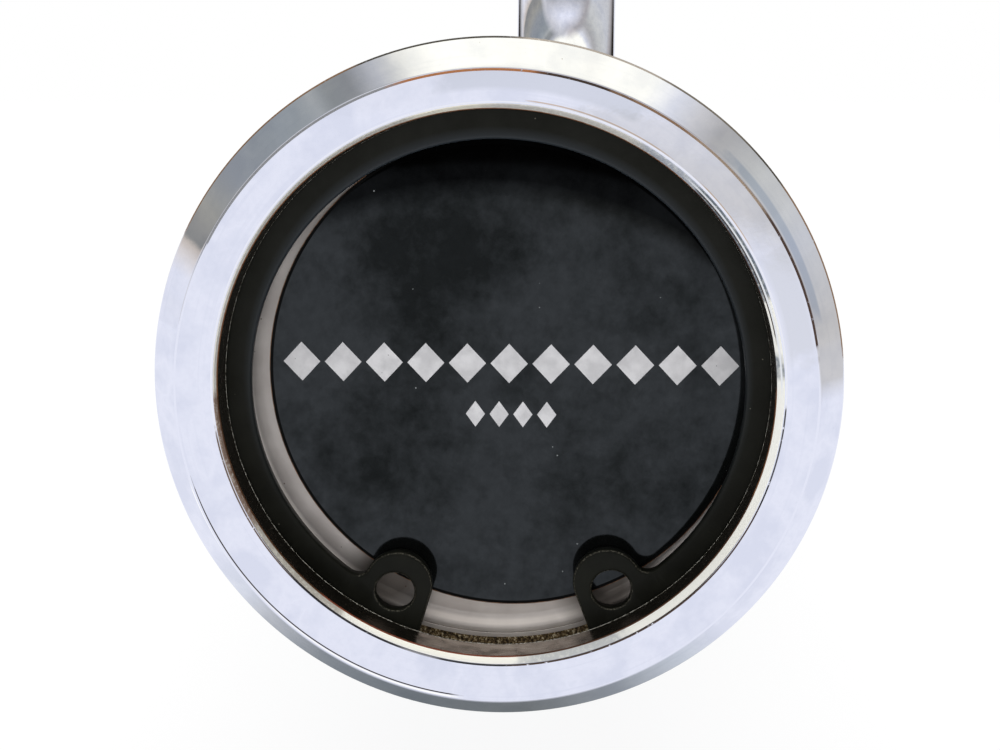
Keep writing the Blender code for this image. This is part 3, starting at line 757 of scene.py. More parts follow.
# The arcs on the three worn edges below are stains and painted reflections together.
face_edge_chrome = edge_chrome(
    "chrome_worn_stained_with_painted_reflections_at_face_edge",
    PLATING_LIGHT,
    -0.05,
    (
        (8, 36, "#4A352C"),
        (36, 52, "#B4A190"),
        (52, 68, "#8E7058"),
        (68, 82, "#3E2E26"),
        (82, 108, "#B5764A"),
        (108, 152, "#9A9CA2"),
    ),
)
outer_edge_chrome = edge_chrome(
    "chrome_worn_stained_with_painted_reflections_at_outer_edge",
    "#DFE2F2",
    -0.05,
    (
        (6, 36, "#8A6A50"),
        (36, 46, "#3A3226"),
        (46, 62, "#6A6258"),
        (62, 86, "#A39A94"),
        (86, 113, "#2A241A"),
        (113, 153, "#7E5A38"),
    ),
)
bore_edge_chrome = edge_chrome(
    "chrome_worn_stained_with_painted_reflections_at_bore_edge",
    "#E6E8F4",
    -0.02,
    (
        (186, 222, "#6E5C50"),
        (222, 250, "#1E1E26"),
        (250, 258, "#9A9AA2"),
        (258, 275, "#1E1E26"),
        (275, 336, "#4A362C"),
        (336, 342, "#080808"),
        (342, 359, "#4A4A50"),
    ),
)
bore_lip_chrome = edge_chrome(
    "rust_at_bore_lip",
    "#8A5A38",
    -0.1,
    (
        (1, 20, "#2A2420"),
        (20, 50, "#4A2A1E"),
        (180, 230, "#5A3A22"),
        (230, 276, "#8E4A32"),
        (276, 340, "#5A3A28"),
    ),
)
burr_steel = speckled_burr()
knurl_chrome = knurled_chrome()
bore_steel = turned_bore_steel()
groove_steel = dusty_groove_steel()
phosphate = black_phosphate("black_phosphate_stamped", worn=False)
phosphate_edge = black_phosphate("black_phosphate_worn_edge", worn=True)
zinc = satin_zinc_plate()
vinyl = gloss_label()
vinyl_edge = cut_edge()
glue = stained_edge()
ink = pale_ink()
bronze = sintered_bronze()
steel = ground_steel()


# Sleeve


def sleeve_profile():
    """Outside, chamfered mouth, bore, ring groove, shelves and inner end."""
    end = SLEEVE_END_X
    groove_radius = END_BORE_RADIUS + RING_GROOVE_DEPTH
    groove_front = RING_FRONT_X + RING_SIDE_GAP
    burr_start = groove_front + GROOVE_BURR_WIDTH
    groove_back = RING_BACK_X - RING_SIDE_GAP
    shelf_x = PLATE_BACK_X - SHELF_GAP
    cavity_radius = END_BORE_RADIUS - PLATE_SHELF
    return [
        (SLEEVE_INNER_X, SLEEVE_RADIUS, 0.0006),
        (end - MOUTH_CHAMFER_LENGTH, SLEEVE_RADIUS, OUTER_EDGE_SOFTNESS),
        (end, SLEEVE_RADIUS - MOUTH_CHAMFER_RADIAL, MOUTH_EDGE_SOFTNESS),
        (end, BORE_CHAMFER_START_RADIUS, MOUTH_EDGE_SOFTNESS),
        (end - BORE_CHAMFER_LENGTH, BORE_CHAMFER_END_RADIUS, BORE_LIP_SOFTNESS),
        (burr_start, END_BORE_RADIUS, 0.0),
        (groove_front, END_BORE_RADIUS, GROOVE_LIP_SOFTNESS),
        (groove_front, groove_radius, 0.0001),
        (groove_back, groove_radius, 0.0001),
        (groove_back, GROOVE_CLEAN_RADIUS, 0.0),
        (groove_back, END_BORE_RADIUS, 0.00003),
        (shelf_x, END_BORE_RADIUS, 0.0),
        (shelf_x, cavity_radius, 0.0),
        (shelf_x - CAVITY_LENGTH, cavity_radius, 0.0),
        (shelf_x - CAVITY_LENGTH, MAIN_BORE_RADIUS, 0.0),
        (SLEEVE_INNER_X, MAIN_BORE_RADIUS, 0.0004),
    ]


# Places on the sleeve with a material each, in the order of its material slots. The first slot,
# 0, is the plain outside.
BORE, GROOVE, FACE_EDGE, OUTER_EDGE, BORE_EDGE, BORE_LIP, BURR = range(1, 8)
GROOVE_BACK, MOUTH, BORE_BAND = range(8, 11)

# The worn line at the face's edge keeps to facets that turn less than 22 degrees from the face
FACE_EDGE_NORMAL = math.cos(math.radians(22.0))

# Circles of the sleeve's mouth: depth behind the end, radius, softness, how far the cut ran off
# centre in Y and in Z, and the place's name. The lead-in chamfer is wider at the top.
MOUTH_CIRCLES = (
    (0.0, SLEEVE_RADIUS - MOUTH_CHAMFER_RADIAL, MOUTH_EDGE_SOFTNESS, 0.0, -0.0003, FACE_EDGE),
    (MOUTH_CHAMFER_LENGTH, SLEEVE_RADIUS, OUTER_EDGE_SOFTNESS, 0.0, 0.0, OUTER_EDGE),
    (0.0, BORE_CHAMFER_START_RADIUS, MOUTH_EDGE_SOFTNESS, 0.00018, 0.00008, BORE_EDGE),
    (BORE_CHAMFER_LENGTH, BORE_CHAMFER_END_RADIUS, BORE_LIP_SOFTNESS, 0.00002, 0.00012, BORE_LIP),
)


def make_sleeve(side, turn):
    bm = turned(sleeve_profile(), STEPS_SLEEVE)
    groove_lip_x = RING_FRONT_X + RING_SIDE_GAP
    bore_start_x = SLEEVE_END_X - BORE_CHAMFER_LENGTH
    groove_radius = END_BORE_RADIUS + RING_GROOVE_DEPTH
    for face in bm.faces:
        middle = face.calc_center_median()
        radius = radius_of(middle)
        if radius < groove_radius + NEAR and middle.x < bore_start_x:
            face.material_index = GROOVE if radius > END_BORE_RADIUS + NEAR else BORE
            if groove_lip_x - NEAR < middle.x < groove_lip_x + GROOVE_BURR_WIDTH:
                face.material_index = BURR
            elif middle.x < RING_BACK_X and END_BORE_RADIUS < radius < GROOVE_CLEAN_RADIUS:
                face.material_index = GROOVE_BACK
        if middle.x > SLEEVE_END_X - MOUTH_CHAMFER_LENGTH and radius > BORE_CHAMFER_START_RADIUS:
            face.material_index = MOUTH
        elif middle.x > bore_start_x and radius < BORE_CHAMFER_START_RADIUS:
            face.material_index = BORE_BAND
        for depth, edge_radius, softness, _, _, edge_place in MOUTH_CIRCLES:
            near = math.hypot(middle.x - SLEEVE_END_X + depth, radius - edge_radius) < softness
            if near and (depth or face.normal.x > FACE_EDGE_NORMAL):
                face.material_index = edge_place
    for vert in bm.verts:
        radius = radius_of(vert.co)
        for depth, edge_radius, softness, shift_y, shift_z, _ in MOUTH_CIRCLES:
            if math.hypot(vert.co.x - SLEEVE_END_X + depth, radius - edge_radius) < 1.3 * softness:
                vert.co += Vector((0.0, shift_y, shift_z))
                break
    materials = [chrome, bore_steel, groove_steel, face_edge_chrome, outer_edge_chrome]
    materials += [bore_edge_chrome, bore_lip_chrome, burr_steel, zinc, mouth_chrome, bore_band_chrome]
    piece = finish_piece(bm, f"{side}_sleeve_tube", f"{side}_sleeve", materials, turn)
    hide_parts(f"{side}_sleeve")


# Retaining ring


def arc_angles(start, end, step):
    """Even angles from start to end, both included, about one step apart."""
    count = max(2, math.ceil(abs(end - start) / step))
    return [start + (end - start) * i / count for i in range(count + 1)]


def ring_half_outline(arc_step, lug_step):
    """Half of the ring's outline, as (angle from the gap's middle, radius) points."""
    lug_centre = RING_SEAT_RADIUS - RING_LUG_REACH
    neck_radius = RING_SEAT_RADIUS - RING_WIDTH + RING_TAPER
    end_angle = RING_LUG_ANGLE - math.asin(RING_LUG_RADIUS / lug_centre)
    fillet_centre = neck_radius - RING_NECK_FILLET
    reach = RING_LUG_RADIUS + RING_NECK_FILLET
    cos_turn = (lug_centre**2 + fillet_centre**2 - reach**2) / (2 * lug_centre * fillet_centre)
    fillet_turn = math.acos(cos_turn)
    along = fillet_centre * math.cos(fillet_turn) - lug_centre
    to_fillet = math.atan2(fillet_centre * math.sin(fillet_turn), along)

    def circle_points(centre_radius, centre_angle, radius, start, end):
        points = []
        for turn in arc_angles(start, end, lug_step):
            outwards = centre_radius + radius * math.cos(turn)
            across = radius * math.sin(turn)
            points.append((centre_angle + math.atan2(across, outwards), math.hypot(outwards, across)))
        return points

    points = [(angle, RING_SEAT_RADIUS) for angle in arc_angles(math.pi, end_angle, arc_step)]
    lug_start = end_angle - RING_LUG_ANGLE - math.pi / 2
    lug_end = to_fillet - 2 * math.pi
    points += circle_points(lug_centre, RING_LUG_ANGLE, RING_LUG_RADIUS, lug_start, lug_end)
    fillet_angle = RING_LUG_ANGLE + fillet_turn
    fillet_start = to_fillet - fillet_turn - math.pi
    points += circle_points(fillet_centre, fillet_angle, RING_NECK_FILLET, fillet_start, 0.0)[1:]
    for angle in arc_angles(fillet_angle, math.pi, arc_step)[1:]:
        share = min(1.0, (angle - fillet_angle) / (RING_TAPER_START - fillet_angle))
        grown = RING_WIDTH - RING_TAPER + RING_TAPER * share * share * (3 - 2 * share)
        points.append((angle, RING_SEAT_RADIUS - grown))
    return points


def roll_edges(bm, cap, size):
    """Round the rim of a flat cap in three steps, and mark the middle one round the lugs as worn."""
    turns = [math.radians(angle) for angle in (0.0, 30.0, 60.0, 90.0)]
    for low, high in zip(turns, turns[1:]):
        rim = bmesh.ops.inset_region(
            bm,
            faces=cap,
            use_boundary=True,
            use_even_offset=True,
            thickness=size * (math.cos(low) - math.cos(high)),
            depth=size * (math.sin(high) - math.sin(low)),
        )["faces"]
        for face in rim:
            middle = face.calc_center_median()
            beside_lug = abs(math.atan2(middle.y, -middle.z)) < RING_LUG_ANGLE + math.radians(10.0)
            if beside_lug and low == turns[1]:
                face.material_index = 1


def make_retaining_ring(side, turn):
    """Stamped spring-steel ring with rolled edges, walls that draw in behind, and two holed lugs."""
    half = ring_half_outline(math.radians(2.0), math.radians(8.0))
    outline = half + [(-angle, radius) for angle, radius in reversed(half[1:-1])]
    loops = [[(radius * math.sin(angle), -radius * math.cos(angle)) for angle, radius in outline]]
    hole_centre = RING_SEAT_RADIUS - RING_LUG_HOLE_REACH
    for sign in (1, -1):
        hole_y = sign * hole_centre * math.sin(RING_LUG_ANGLE)
        hole_z = -hole_centre * math.cos(RING_LUG_ANGLE)
        hole = []
        for angle in arc_angles(0.0, 2 * math.pi, math.radians(10.0))[:-1]:
            reach_y = RING_LUG_HOLE_RADIUS * math.cos(angle)
            reach_z = RING_LUG_HOLE_RADIUS * math.sin(angle)
            hole.append((hole_y + reach_y, hole_z + reach_z))
        loops.append(hole)
    bm = bmesh.new()
    edges = []
    for loop in loops:
        verts = [bm.verts.new((RING_BACK_X + RING_UNDERCUT_DEPTH, y, z)) for y, z in loop]
        edges += [bm.edges.new(pair) for pair in zip(verts, verts[1:] + verts[:1])]
    bmesh.ops.triangle_fill(bm, use_beauty=True, edges=edges)
    back = bm.faces[:]
    raised = bmesh.ops.extrude_face_region(bm, geom=back, use_keep_orig=True)
    front = [item for item in raised["geom"] if isinstance(item, bmesh.types.BMFace)]
    front_verts = [item for item in raised["geom"] if isinstance(item, bmesh.types.BMVert)]
    depth = RING_FRONT_X - RING_BACK_X - RING_FRONT_ROLL - RING_UNDERCUT_DEPTH
    bmesh.ops.translate(bm, verts=front_verts, vec=(depth, 0.0, 0.0))
    bmesh.ops.recalc_face_normals(bm, faces=bm.faces)
    roll_edges(bm, front, RING_FRONT_ROLL)
    bmesh.ops.inset_region(
        bm,
        faces=back,
        use_boundary=True,
        use_even_offset=True,
        thickness=RING_UNDERCUT,
        depth=RING_UNDERCUT_DEPTH,
    )
    bmesh.ops.rotate(bm, verts=bm.verts, cent=(0, 0, 0), matrix=Matrix.Rotation(RING_TURN, 3, "X"))
    bmesh.ops.translate(bm, verts=bm.verts, vec=(0.0, 0.0, AXIS_Z))
    piece = finish_piece(
        bm,
        f"{side}_retaining_ring_stamped",
        f"{side}_sleeve",
        [phosphate, phosphate_edge],
        turn,
        smooth_angle=SHARP_RING_EDGE,
    )
    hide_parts(f"{side}_retaining_ring")


# End plate and label


def make_end_plate(side, turn):
    """Pressed disc with a narrow raised rim round the label."""
    profile = [
        (PLATE_BACK_X, 0.0, 0.0),
        (PLATE_BACK_X, PLATE_RADIUS, 0.0002),
        (PLATE_FRONT_X, PLATE_RIM_RADIUS, 0.0),
        (LABEL_FRONT_X, PLATE_RIM_RADIUS, 0.00004),
        (LABEL_FRONT_X, PLATE_RIM_INNER_RADIUS, 0.0002),
        (PLATE_FRONT_X, PLATE_RIM_FOOT_RADIUS, 0.0003),
        (PLATE_FRONT_X, 0.0, 0.0),
    ]
    bm = turned(profile, STEPS_PLATE)
    piece = finish_piece(bm, f"{side}_end_plate_pressed", f"{side}_sleeve", [zinc], turn)
    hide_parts(f"{side}_end_plate")


# Circles in the label's mesh, which let its top bend
LABEL_RINGS = 28


def label_surface_x(y, z):
    """The label's front at (y, z) from its middle: flat, then falling away beyond the bend."""
    to_bend = math.hypot(y - LABEL_BEND_CENTRE_Y, z - LABEL_BEND_CENTRE_Z)
    beyond = max(0.0, to_bend - LABEL_BEND_RADIUS)
    off_centre = math.hypot(LABEL_BEND_CENTRE_Y, LABEL_BEND_CENTRE_Z)
    most = LABEL_RADIUS + off_centre - LABEL_BEND_RADIUS
    drop = LABEL_FRONT_X - LABEL_BACK_X - LABEL_TOP_THICKNESS
    return LABEL_FRONT_X - drop * (beyond / most) ** LABEL_BEND_POWER


def make_label(side, turn):
    """Vinyl disc on its glue. Its top has come away from flat and bends back to the plate."""
    film_radius = LABEL_RADIUS - GLUE_WIDTH - CUT_EDGE_WIDTH
    radii = [LABEL_RADIUS, LABEL_RADIUS - GLUE_WIDTH]
    radii += [film_radius * step / LABEL_RINGS for step in range(LABEL_RINGS, -1, -1)]
    profile = [(LABEL_BACK_X, 0.0, 0.0), (LABEL_BACK_X, LABEL_RADIUS, 0.0)]
    profile += [(LABEL_FRONT_X, radius, 0.0) for radius in radii]
    bm = turned(profile, STEPS_LABEL)
    for vert in bm.verts:
        if vert.co.x > LABEL_FRONT_X - 1e-6:
            vert.co.x = label_surface_x(vert.co.y, vert.co.z - AXIS_Z)
    for face in bm.faces:
        radius = radius_of(face.calc_center_median())
        if face.normal.x > -0.5 and radius > LABEL_RADIUS - GLUE_WIDTH:
            face.material_index = 2
        elif face.normal.x > 0.0 and radius > film_radius:
            face.material_index = 1
    bmesh.ops.translate(bm, verts=bm.verts, vec=(0.0, LABEL_CENTRE.y, LABEL_CENTRE.z - AXIS_Z))
    materials = [vinyl, vinyl_edge, glue]
    piece = finish_piece(bm, f"{side}_label_disc", f"{side}_sleeve", materials, turn)
    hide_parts(f"{side}_end_label")


# Printed rows on the label: count, pitch, width and height of the lozenges, and the row's place
PRINT_ROWS = (
    (11, 0.00314, 0.0028, 0.0030, 0.0, 0.0009),
    (4, 0.0018, 0.00145, 0.0020, 0.00015, -0.0030),
)
PRINT_THICKNESS = 0.00002


def make_label_print(side, turn):
    """Two plain rows of pale lozenges printed on the label."""
    bm = bmesh.new()
    for count, pitch, width, height, row_y, row_z in PRINT_ROWS:
        for index in range(count):
            centre_y = row_y + (index - (count - 1) / 2) * pitch
            made = bmesh.ops.create_grid(bm, x_segments=6, y_segments=6, size=0.5)["verts"]
            for vert in made:
                u, v = vert.co.x, vert.co.y
                vert.co = Vector((0.0, centre_y + (u + v) * width / 2, row_z + (v - u) * height / 2))
    bottoms = bm.faces[:]
    raised = bmesh.ops.extrude_face_region(bm, geom=bottoms, use_keep_orig=True)["geom"]
    tops = {item for item in raised if isinstance(item, bmesh.types.BMVert)}
    for vert in bm.verts:
        surface = label_surface_x(vert.co.y, vert.co.z)
        vert.co.x = surface + (PRINT_THICKNESS if vert in tops else -PRINT_THICKNESS)
    bmesh.ops.recalc_face_normals(bm, faces=bm.faces)
    bmesh.ops.translate(bm, verts=bm.verts, vec=(0.0, LABEL_CENTRE.y, LABEL_CENTRE.z))
    finish_piece(bm, f"{side}_label_print", f"{side}_sleeve", [ink], turn, weighted=False)


# Collar, bearings and spindle


def make_collar(side, turn):
    bore = SLEEVE_RADIUS + SEAT_GAP
    collar_x = HUB_X + HUB_LENGTH
    profile = [
        (HUB_X, bore, 0.0),
        (HUB_X, HUB_RADIUS, 0.0010),
        (collar_x, HUB_RADIUS, 0.0006),
        (collar_x, COLLAR_RADIUS, 0.0016),
        (PLATE_STOP_X, COLLAR_RADIUS, 0.0016),
        (PLATE_STOP_X, bore, 0.0003),
    ]
    bm = turned(profile, STEPS_COLLAR)
    piece = finish_piece(bm, f"{side}_collar_turned", f"{side}_sleeve", [chrome], turn)
    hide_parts(f"{side}_sleeve_collar")


WELD_RIPPLE_HEIGHT = 0.00020
COLLAR_WELD_RIPPLES = 46
BUTT_WELD_RIPPLES = 44


def ripple(bm, middle_x, half_width, axis_z, ripples):
    """Push a weld's face in and out in overlapping crescents, one for each pause of the torch."""
    for vert in bm.verts:
        along = (vert.co.x - middle_x) / half_width
        crescent = math.sin(ripples * angle_of(vert.co, axis_z) + 2.4 * along * along)
        wander = noise.noise(Vector((vert.co.x * 300, vert.co.y * 120, vert.co.z * 120)))
        push = WELD_RIPPLE_HEIGHT * max(0.0, 1 - along * along) * (crescent + 0.6 * wander)
        growth = push / radius_of(vert.co, axis_z)
        vert.co += growth * Vector((0.0, vert.co.y, vert.co.z - axis_z))


def make_collar_weld(side, turn):
    foot_x = HUB_X - SEAT_GAP
    foot_radius = SLEEVE_RADIUS + 0.0001
    leg = COLLAR_WELD_LEG
    profile = [(foot_x, foot_radius, 0.0), (foot_x, foot_radius + leg, 0.0)]
    for step in range(1, 8):
        across = math.radians(90.0 * step / 8)
        reach = leg * (0.86 + 0.14 * abs(math.cos(2 * across)))
        profile.append((foot_x - reach * math.sin(across), foot_radius + reach * math.cos(across), 0.0))
    profile.append((foot_x - leg, foot_radius, 0.0))
    bm = turned(profile, STEPS_COLLAR_WELD)
    ripple(bm, foot_x - leg / 2, leg / 2, AXIS_Z, COLLAR_WELD_RIPPLES)
    name = f"{side}_collar_weld_bead"
    body = f"{side}_sleeve"
    piece = finish_piece(bm, name, body, [weld_chrome], turn, SHARP_WELD_EDGE, False)
    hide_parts(f"{side}_collar_weld")


def make_butt_weld(side, turn, node, joint_x, axis_z):
    middle = joint_x + SEAT_GAP / 2
    root = SHAFT_RADIUS - WELD_BEVEL + WELD_ROOT_FACE + SEAT_GAP
    half = WELD_BEVEL + SEAT_GAP
    profile = [(middle - WELD_ROOT_FACE, root, 0.0)]
    for step in range(13):
        along = -1 + 2 * step / 12
        crown = WELD_CROWN * (1 - along * along) ** 0.5
        profile.append((middle + along * half, SHAFT_RADIUS + crown, 0.0))
    profile.append((middle + WELD_ROOT_FACE, root, 0.0))
    bm = turned(profile, STEPS_BUTT_WELD, axis_z)
    ripple(bm, middle, half, axis_z, BUTT_WELD_RIPPLES)
    name = f"{side}_{node}_bead"
    piece = finish_piece(bm, name, "bar", [weld_chrome], turn, SHARP_WELD_EDGE, False)
    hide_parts(f"{side}_{node}")


def make_spindle(side, turn):
    """Turned axle: bevelled for its weld, with a thrust flange and a grooved tip."""
    root_radius = SHAFT_RADIUS - WELD_BEVEL + WELD_ROOT_FACE
    flange_front = inner_x("inner_thrust_washer") - SEAT_GAP
    flange_back = flange_front - SPINDLE_FLANGE_THICKNESS
    shoulder_x = inner_x("outer_thrust_washer") - SPINDLE_SHOULDER_SETBACK
    groove_in = inner_x("spindle_circlip") - RING_SIDE_GAP
    groove_out = outer_x("spindle_circlip") + RING_SIDE_GAP
    start = SPINDLE_START_X
    profile = [
        (start, 0.0, 0.0),
        (start, root_radius, 0.0),
        (start + WELD_ROOT_FACE, root_radius, 0.0),
        (start + WELD_BEVEL, SHAFT_RADIUS, 0.0002),
        (flange_back, SHAFT_RADIUS, 0.0003),
        (flange_back, SPINDLE_FLANGE_RADIUS, 0.0005),
        (flange_front, SPINDLE_FLANGE_RADIUS, 0.0005),
        (flange_front, SPINDLE_RADIUS, 0.0),
        (shoulder_x, SPINDLE_RADIUS, 0.0003),
        (shoulder_x, SPINDLE_TIP_RADIUS, 0.0),
        (groove_in, SPINDLE_TIP_RADIUS, 0.0),
        (groove_in, CIRCLIP_GROOVE_RADIUS, 0.0),
        (groove_out, CIRCLIP_GROOVE_RADIUS, 0.0),
        (groove_out, SPINDLE_TIP_RADIUS, 0.0),
        (SPINDLE_TIP_X, SPINDLE_TIP_RADIUS, 0.0006),
        (SPINDLE_TIP_X, 0.0, 0.0),
    ]
    bm = turned(profile, STEPS_BEARING)
    for face in bm.faces:
        if face.calc_center_median().x > flange_front - 0.0001:
            face.material_index = 1
    piece = finish_piece(bm, f"{side}_spindle_turned", "bar", [chrome, steel], turn)
    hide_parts(f"{side}_spindle")


def make_thrust_washer(side, turn):
    rim = outer_radius("inner_thrust_washer")
    back, front = inner_x("inner_thrust_washer"), outer_x("inner_thrust_washer")
    profile = [
        (back, BUSHING_BORE_RADIUS, 0.0002),
        (back, rim, 0.0004),
        (front, rim, 0.0004),
        (front, BUSHING_BORE_RADIUS, 0.0002),
    ]
    bm = turned(profile, STEPS_BEARING)
    piece = finish_piece(bm, f"{side}_thrust_washer_ground", "bar", [steel], turn)
    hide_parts(f"{side}_inner_thrust_washer")


def make_inner_bushing(side, turn):
    rim = outer_radius("inner_bushing")
    back, front = inner_x("inner_bushing"), outer_x("inner_bushing")
    shelf = back + BUSHING_FLANGE_THICKNESS
    profile = [
        (back, BUSHING_BORE_RADIUS, 0.0002),
        (back, rim, 0.0003),
        (shelf, rim, 0.0003),
        (shelf, BUSHING_BODY_RADIUS, 0.0),
        (front, BUSHING_BODY_RADIUS, 0.0003),
        (front, BUSHING_BORE_RADIUS, 0.0002),
    ]
    bm = turned(profile, STEPS_BEARING)
    piece = finish_piece(bm, f"{side}_bushing_sintered", f"{side}_sleeve", [bronze], turn)
    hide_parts(f"{side}_inner_bushing")


# Bent frame

RISER_FACETS = 96
BEND_STEPS = 32


def open_edges(items):
    return [item for item in items if isinstance(item, bmesh.types.BMEdge) and item.is_boundary]


def extrude_loop(bm, edges, offset, growth):
    """Extrude a loop of edges along X and scale it about its own middle."""
    made = bmesh.ops.extrude_edge_only(bm, edges=edges)["geom"]
    verts = [item for item in made if isinstance(item, bmesh.types.BMVert)]
    centre_z = sum(vert.co.z for vert in verts) / len(verts)
    bmesh.ops.translate(bm, verts=verts, vec=(offset, 0.0, -centre_z))
    bmesh.ops.scale(bm, verts=verts, vec=(1.0, growth, growth))
    bmesh.ops.translate(bm, verts=verts, vec=(0.0, 0.0, centre_z))
    return open_edges(made)


def bend_loop(bm, edges, centre, angle, steps):
    """Spin a loop of edges about a Y axis through centre, and return the last loop's edges."""
    verts = list({vert for edge in edges for vert in edge.verts})
    spun = bmesh.ops.spin(
        bm, geom=verts + edges, cent=centre, axis=(0.0, 1.0, 0.0), angle=angle, steps=steps
    )
    return open_edges(spun["geom_last"])


def make_riser(side, turn):
    """Round bar, bent down and out again on one radius, with both ends bevelled for welding."""
    low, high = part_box("right_riser")
    root_radius = SHAFT_RADIUS - WELD_BEVEL + WELD_ROOT_FACE
    bevel = WELD_BEVEL - WELD_ROOT_FACE
    growth = SHAFT_RADIUS / root_radius
    first_bend_x = RISER_X - BEND_RADIUS
    last_bend_x = RISER_X + BEND_RADIUS
    upright = Matrix.Translation((low.x, 0.0, 0.0)) @ Matrix.Rotation(math.pi / 2, 4, "Y")
    bm = bmesh.new()
    bmesh.ops.create_circle(bm, segments=RISER_FACETS, radius=root_radius, matrix=upright)
    edges = extrude_loop(bm, bm.edges[:], WELD_ROOT_FACE, 1.0)
    edges = extrude_loop(bm, edges, bevel, growth)
    edges = extrude_loop(bm, edges, first_bend_x - low.x - WELD_BEVEL, 1.0)
    edges = bend_loop(bm, edges, (first_bend_x, 0.0, -BEND_RADIUS), math.pi / 2, BEND_STEPS)
    drop = bmesh.ops.extrude_edge_only(bm, edges=edges)["geom"]
    verts = [item for item in drop if isinstance(item, bmesh.types.BMVert)]
    bmesh.ops.translate(bm, verts=verts, vec=(0.0, 0.0, AXIS_Z + 2 * BEND_RADIUS))
    edges = open_edges(drop)
    last_centre = (last_bend_x, 0.0, AXIS_Z + BEND_RADIUS)
    edges = bend_loop(bm, edges, last_centre, -math.pi / 2, BEND_STEPS)
    edges = extrude_loop(bm, edges, high.x - last_bend_x - WELD_BEVEL, 1.0)
    edges = extrude_loop(bm, edges, bevel, 1 / growth)
    extrude_loop(bm, edges, WELD_ROOT_FACE, 1.0)
    bmesh.ops.holes_fill(bm, edges=[edge for edge in bm.edges if edge.is_boundary], sides=0)
    bmesh.ops.recalc_face_normals(bm, faces=bm.faces)
    piece = finish_piece(bm, f"{side}_riser_bent", "bar", [chrome], turn)
    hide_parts(f"{side}_riser")


# Knurling is about 1.4 mm from groove to groove on such a bar; it is drawn coarser, with 64
# diamonds round the bar, so that its facets show from a step away
KNURL_DIAMONDS_ROUND = 64
KNURL_ROW_PITCH = 0.0019


def knurl_bands():
    mark_low = RING_MARK_X - RING_MARK_WIDTH / 2
    mark_high = RING_MARK_X + RING_MARK_WIDTH / 2
    right = [(SIDE_KNURL_START, mark_low), (mark_high, SIDE_KNURL_END)]
    left = [(-high, -low) for low, high in reversed(right)]
    return left + [(-CENTRE_KNURL_END, CENTRE_KNURL_END)] + right


def knurl_row_places(start, end):
    """Places of the rows of one knurled band, between its two ramps."""
    length = end - start - 2 * KNURL_RAMP
    count = round(length / KNURL_ROW_PITCH)
    return [start + KNURL_RAMP + length * i / count for i in range(count + 1)]


def knurl_row(x, bands):
    """Number of the knurl row at x, or None where the bar is smooth."""
    for places in bands:
        if places[0] - KNURL_RAMP / 2 < x < places[-1] + KNURL_RAMP / 2:
            return round((x - places[0]) / (places[1] - places[0]))
    return None


def make_top_bar():
    """Straight bar whose knurled bands are raised diamonds, with plain ring marks between them."""
    root_radius = SHAFT_RADIUS - WELD_BEVEL + WELD_ROOT_FACE
    tip = [
        (-TOP_END_X, 0.0, 0.0),
        (-TOP_END_X, root_radius, 0.0),
        (-TOP_END_X + WELD_ROOT_FACE, root_radius, 0.0),
        (-TOP_END_X + WELD_BEVEL, SHAFT_RADIUS, 0.0),
    ]
    profile = tip[:]
    bands = []
    for start, end in knurl_bands():
        bands.append(knurl_row_places(start, end))
        profile += [(x, SHAFT_RADIUS, 0.0) for x in [start] + bands[-1] + [end]]
    profile += [(-x, radius, softness) for x, radius, softness in reversed(tip)]
    columns = 2 * KNURL_DIAMONDS_ROUND
    bm = turned(profile, columns, axis_z=0.0)
    rows = {vert: knurl_row(vert.co.x, bands) for vert in bm.verts}
    for vert, row in rows.items():
        if row is None:
            continue
        column = round(angle_of(vert.co, 0.0) / (2 * math.pi) * columns)
        is_crest = (row + column) % 2 == 0
        growth = (KNURL_CREST_RADIUS if is_crest else KNURL_VALLEY_RADIUS) / SHAFT_RADIUS
        vert.co.y *= growth
        vert.co.z *= growth
    knurled = [face for face in bm.faces if all(rows[vert] is not None for vert in face.verts)]
    for face in knurled:
        face.material_index = 1
    bmesh.ops.triangulate(bm, faces=knurled, quad_method="SHORT_EDGE")
    materials = [chrome, knurl_chrome]
    name = "top_bar_knurled"
    piece = finish_piece(bm, name, "bar", materials, 0.0, SHARP_KNURL_EDGE, False)
    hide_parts("top_bar")


for side, turn in SIDES.items():
    make_sleeve(side, turn)
    make_retaining_ring(side, turn)
    make_end_plate(side, turn)
    make_label(side, turn)
    make_label_print(side, turn)
    make_collar(side, turn)
    make_collar_weld(side, turn)
    make_butt_weld(side, turn, "top_weld", TOP_END_X, 0.0)
    make_butt_weld(side, turn, "spindle_weld", SPINDLE_START_X - SEAT_GAP, AXIS_Z)
    make_spindle(side, turn)
    make_thrust_washer(side, turn)
    make_inner_bushing(side, turn)
    make_riser(side, turn)
make_top_bar()

# CAD nodes that stay, hidden inside the sleeves
KEPT_NODES = {"outer_bushing": bronze, "outer_thrust_washer": steel, "spindle_circlip": phosphate}
for side in SIDES:
    for node_name, material in KEPT_NODES.items():
        for material_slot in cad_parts[f"{side}_{node_name}"].material_slots:
            material_slot.material = material


# Stage, light and camera


def seen_rays(tree):
    """1 for rays that the eye follows: straight from the camera, mirrored or through glass."""
    rays = add_node(tree, "ShaderNodeLightPath").node.outputs
    seen = rays["Is Camera Ray"]
    for key in ("Is Glossy Ray", "Is Transmission Ray"):
        seen = add_node(tree, "ShaderNodeMath", {"operation": "MAXIMUM"}, {0: seen, 1: rays[key]})
    return seen


def empty_material(name):
    material = bpy.data.materials.new(name)
    material.use_nodes = True
    material.node_tree.nodes.clear()
    return material, material.node_tree


def stage_piece(bm, name, material):
    mesh = bpy.data.meshes.new(name)
    bm.to_mesh(mesh)
    bm.free()
    mesh.materials.append(material)
    piece = bpy.data.objects.new(name, mesh)
    bpy.context.scene.collection.objects.link(piece)
    return piece


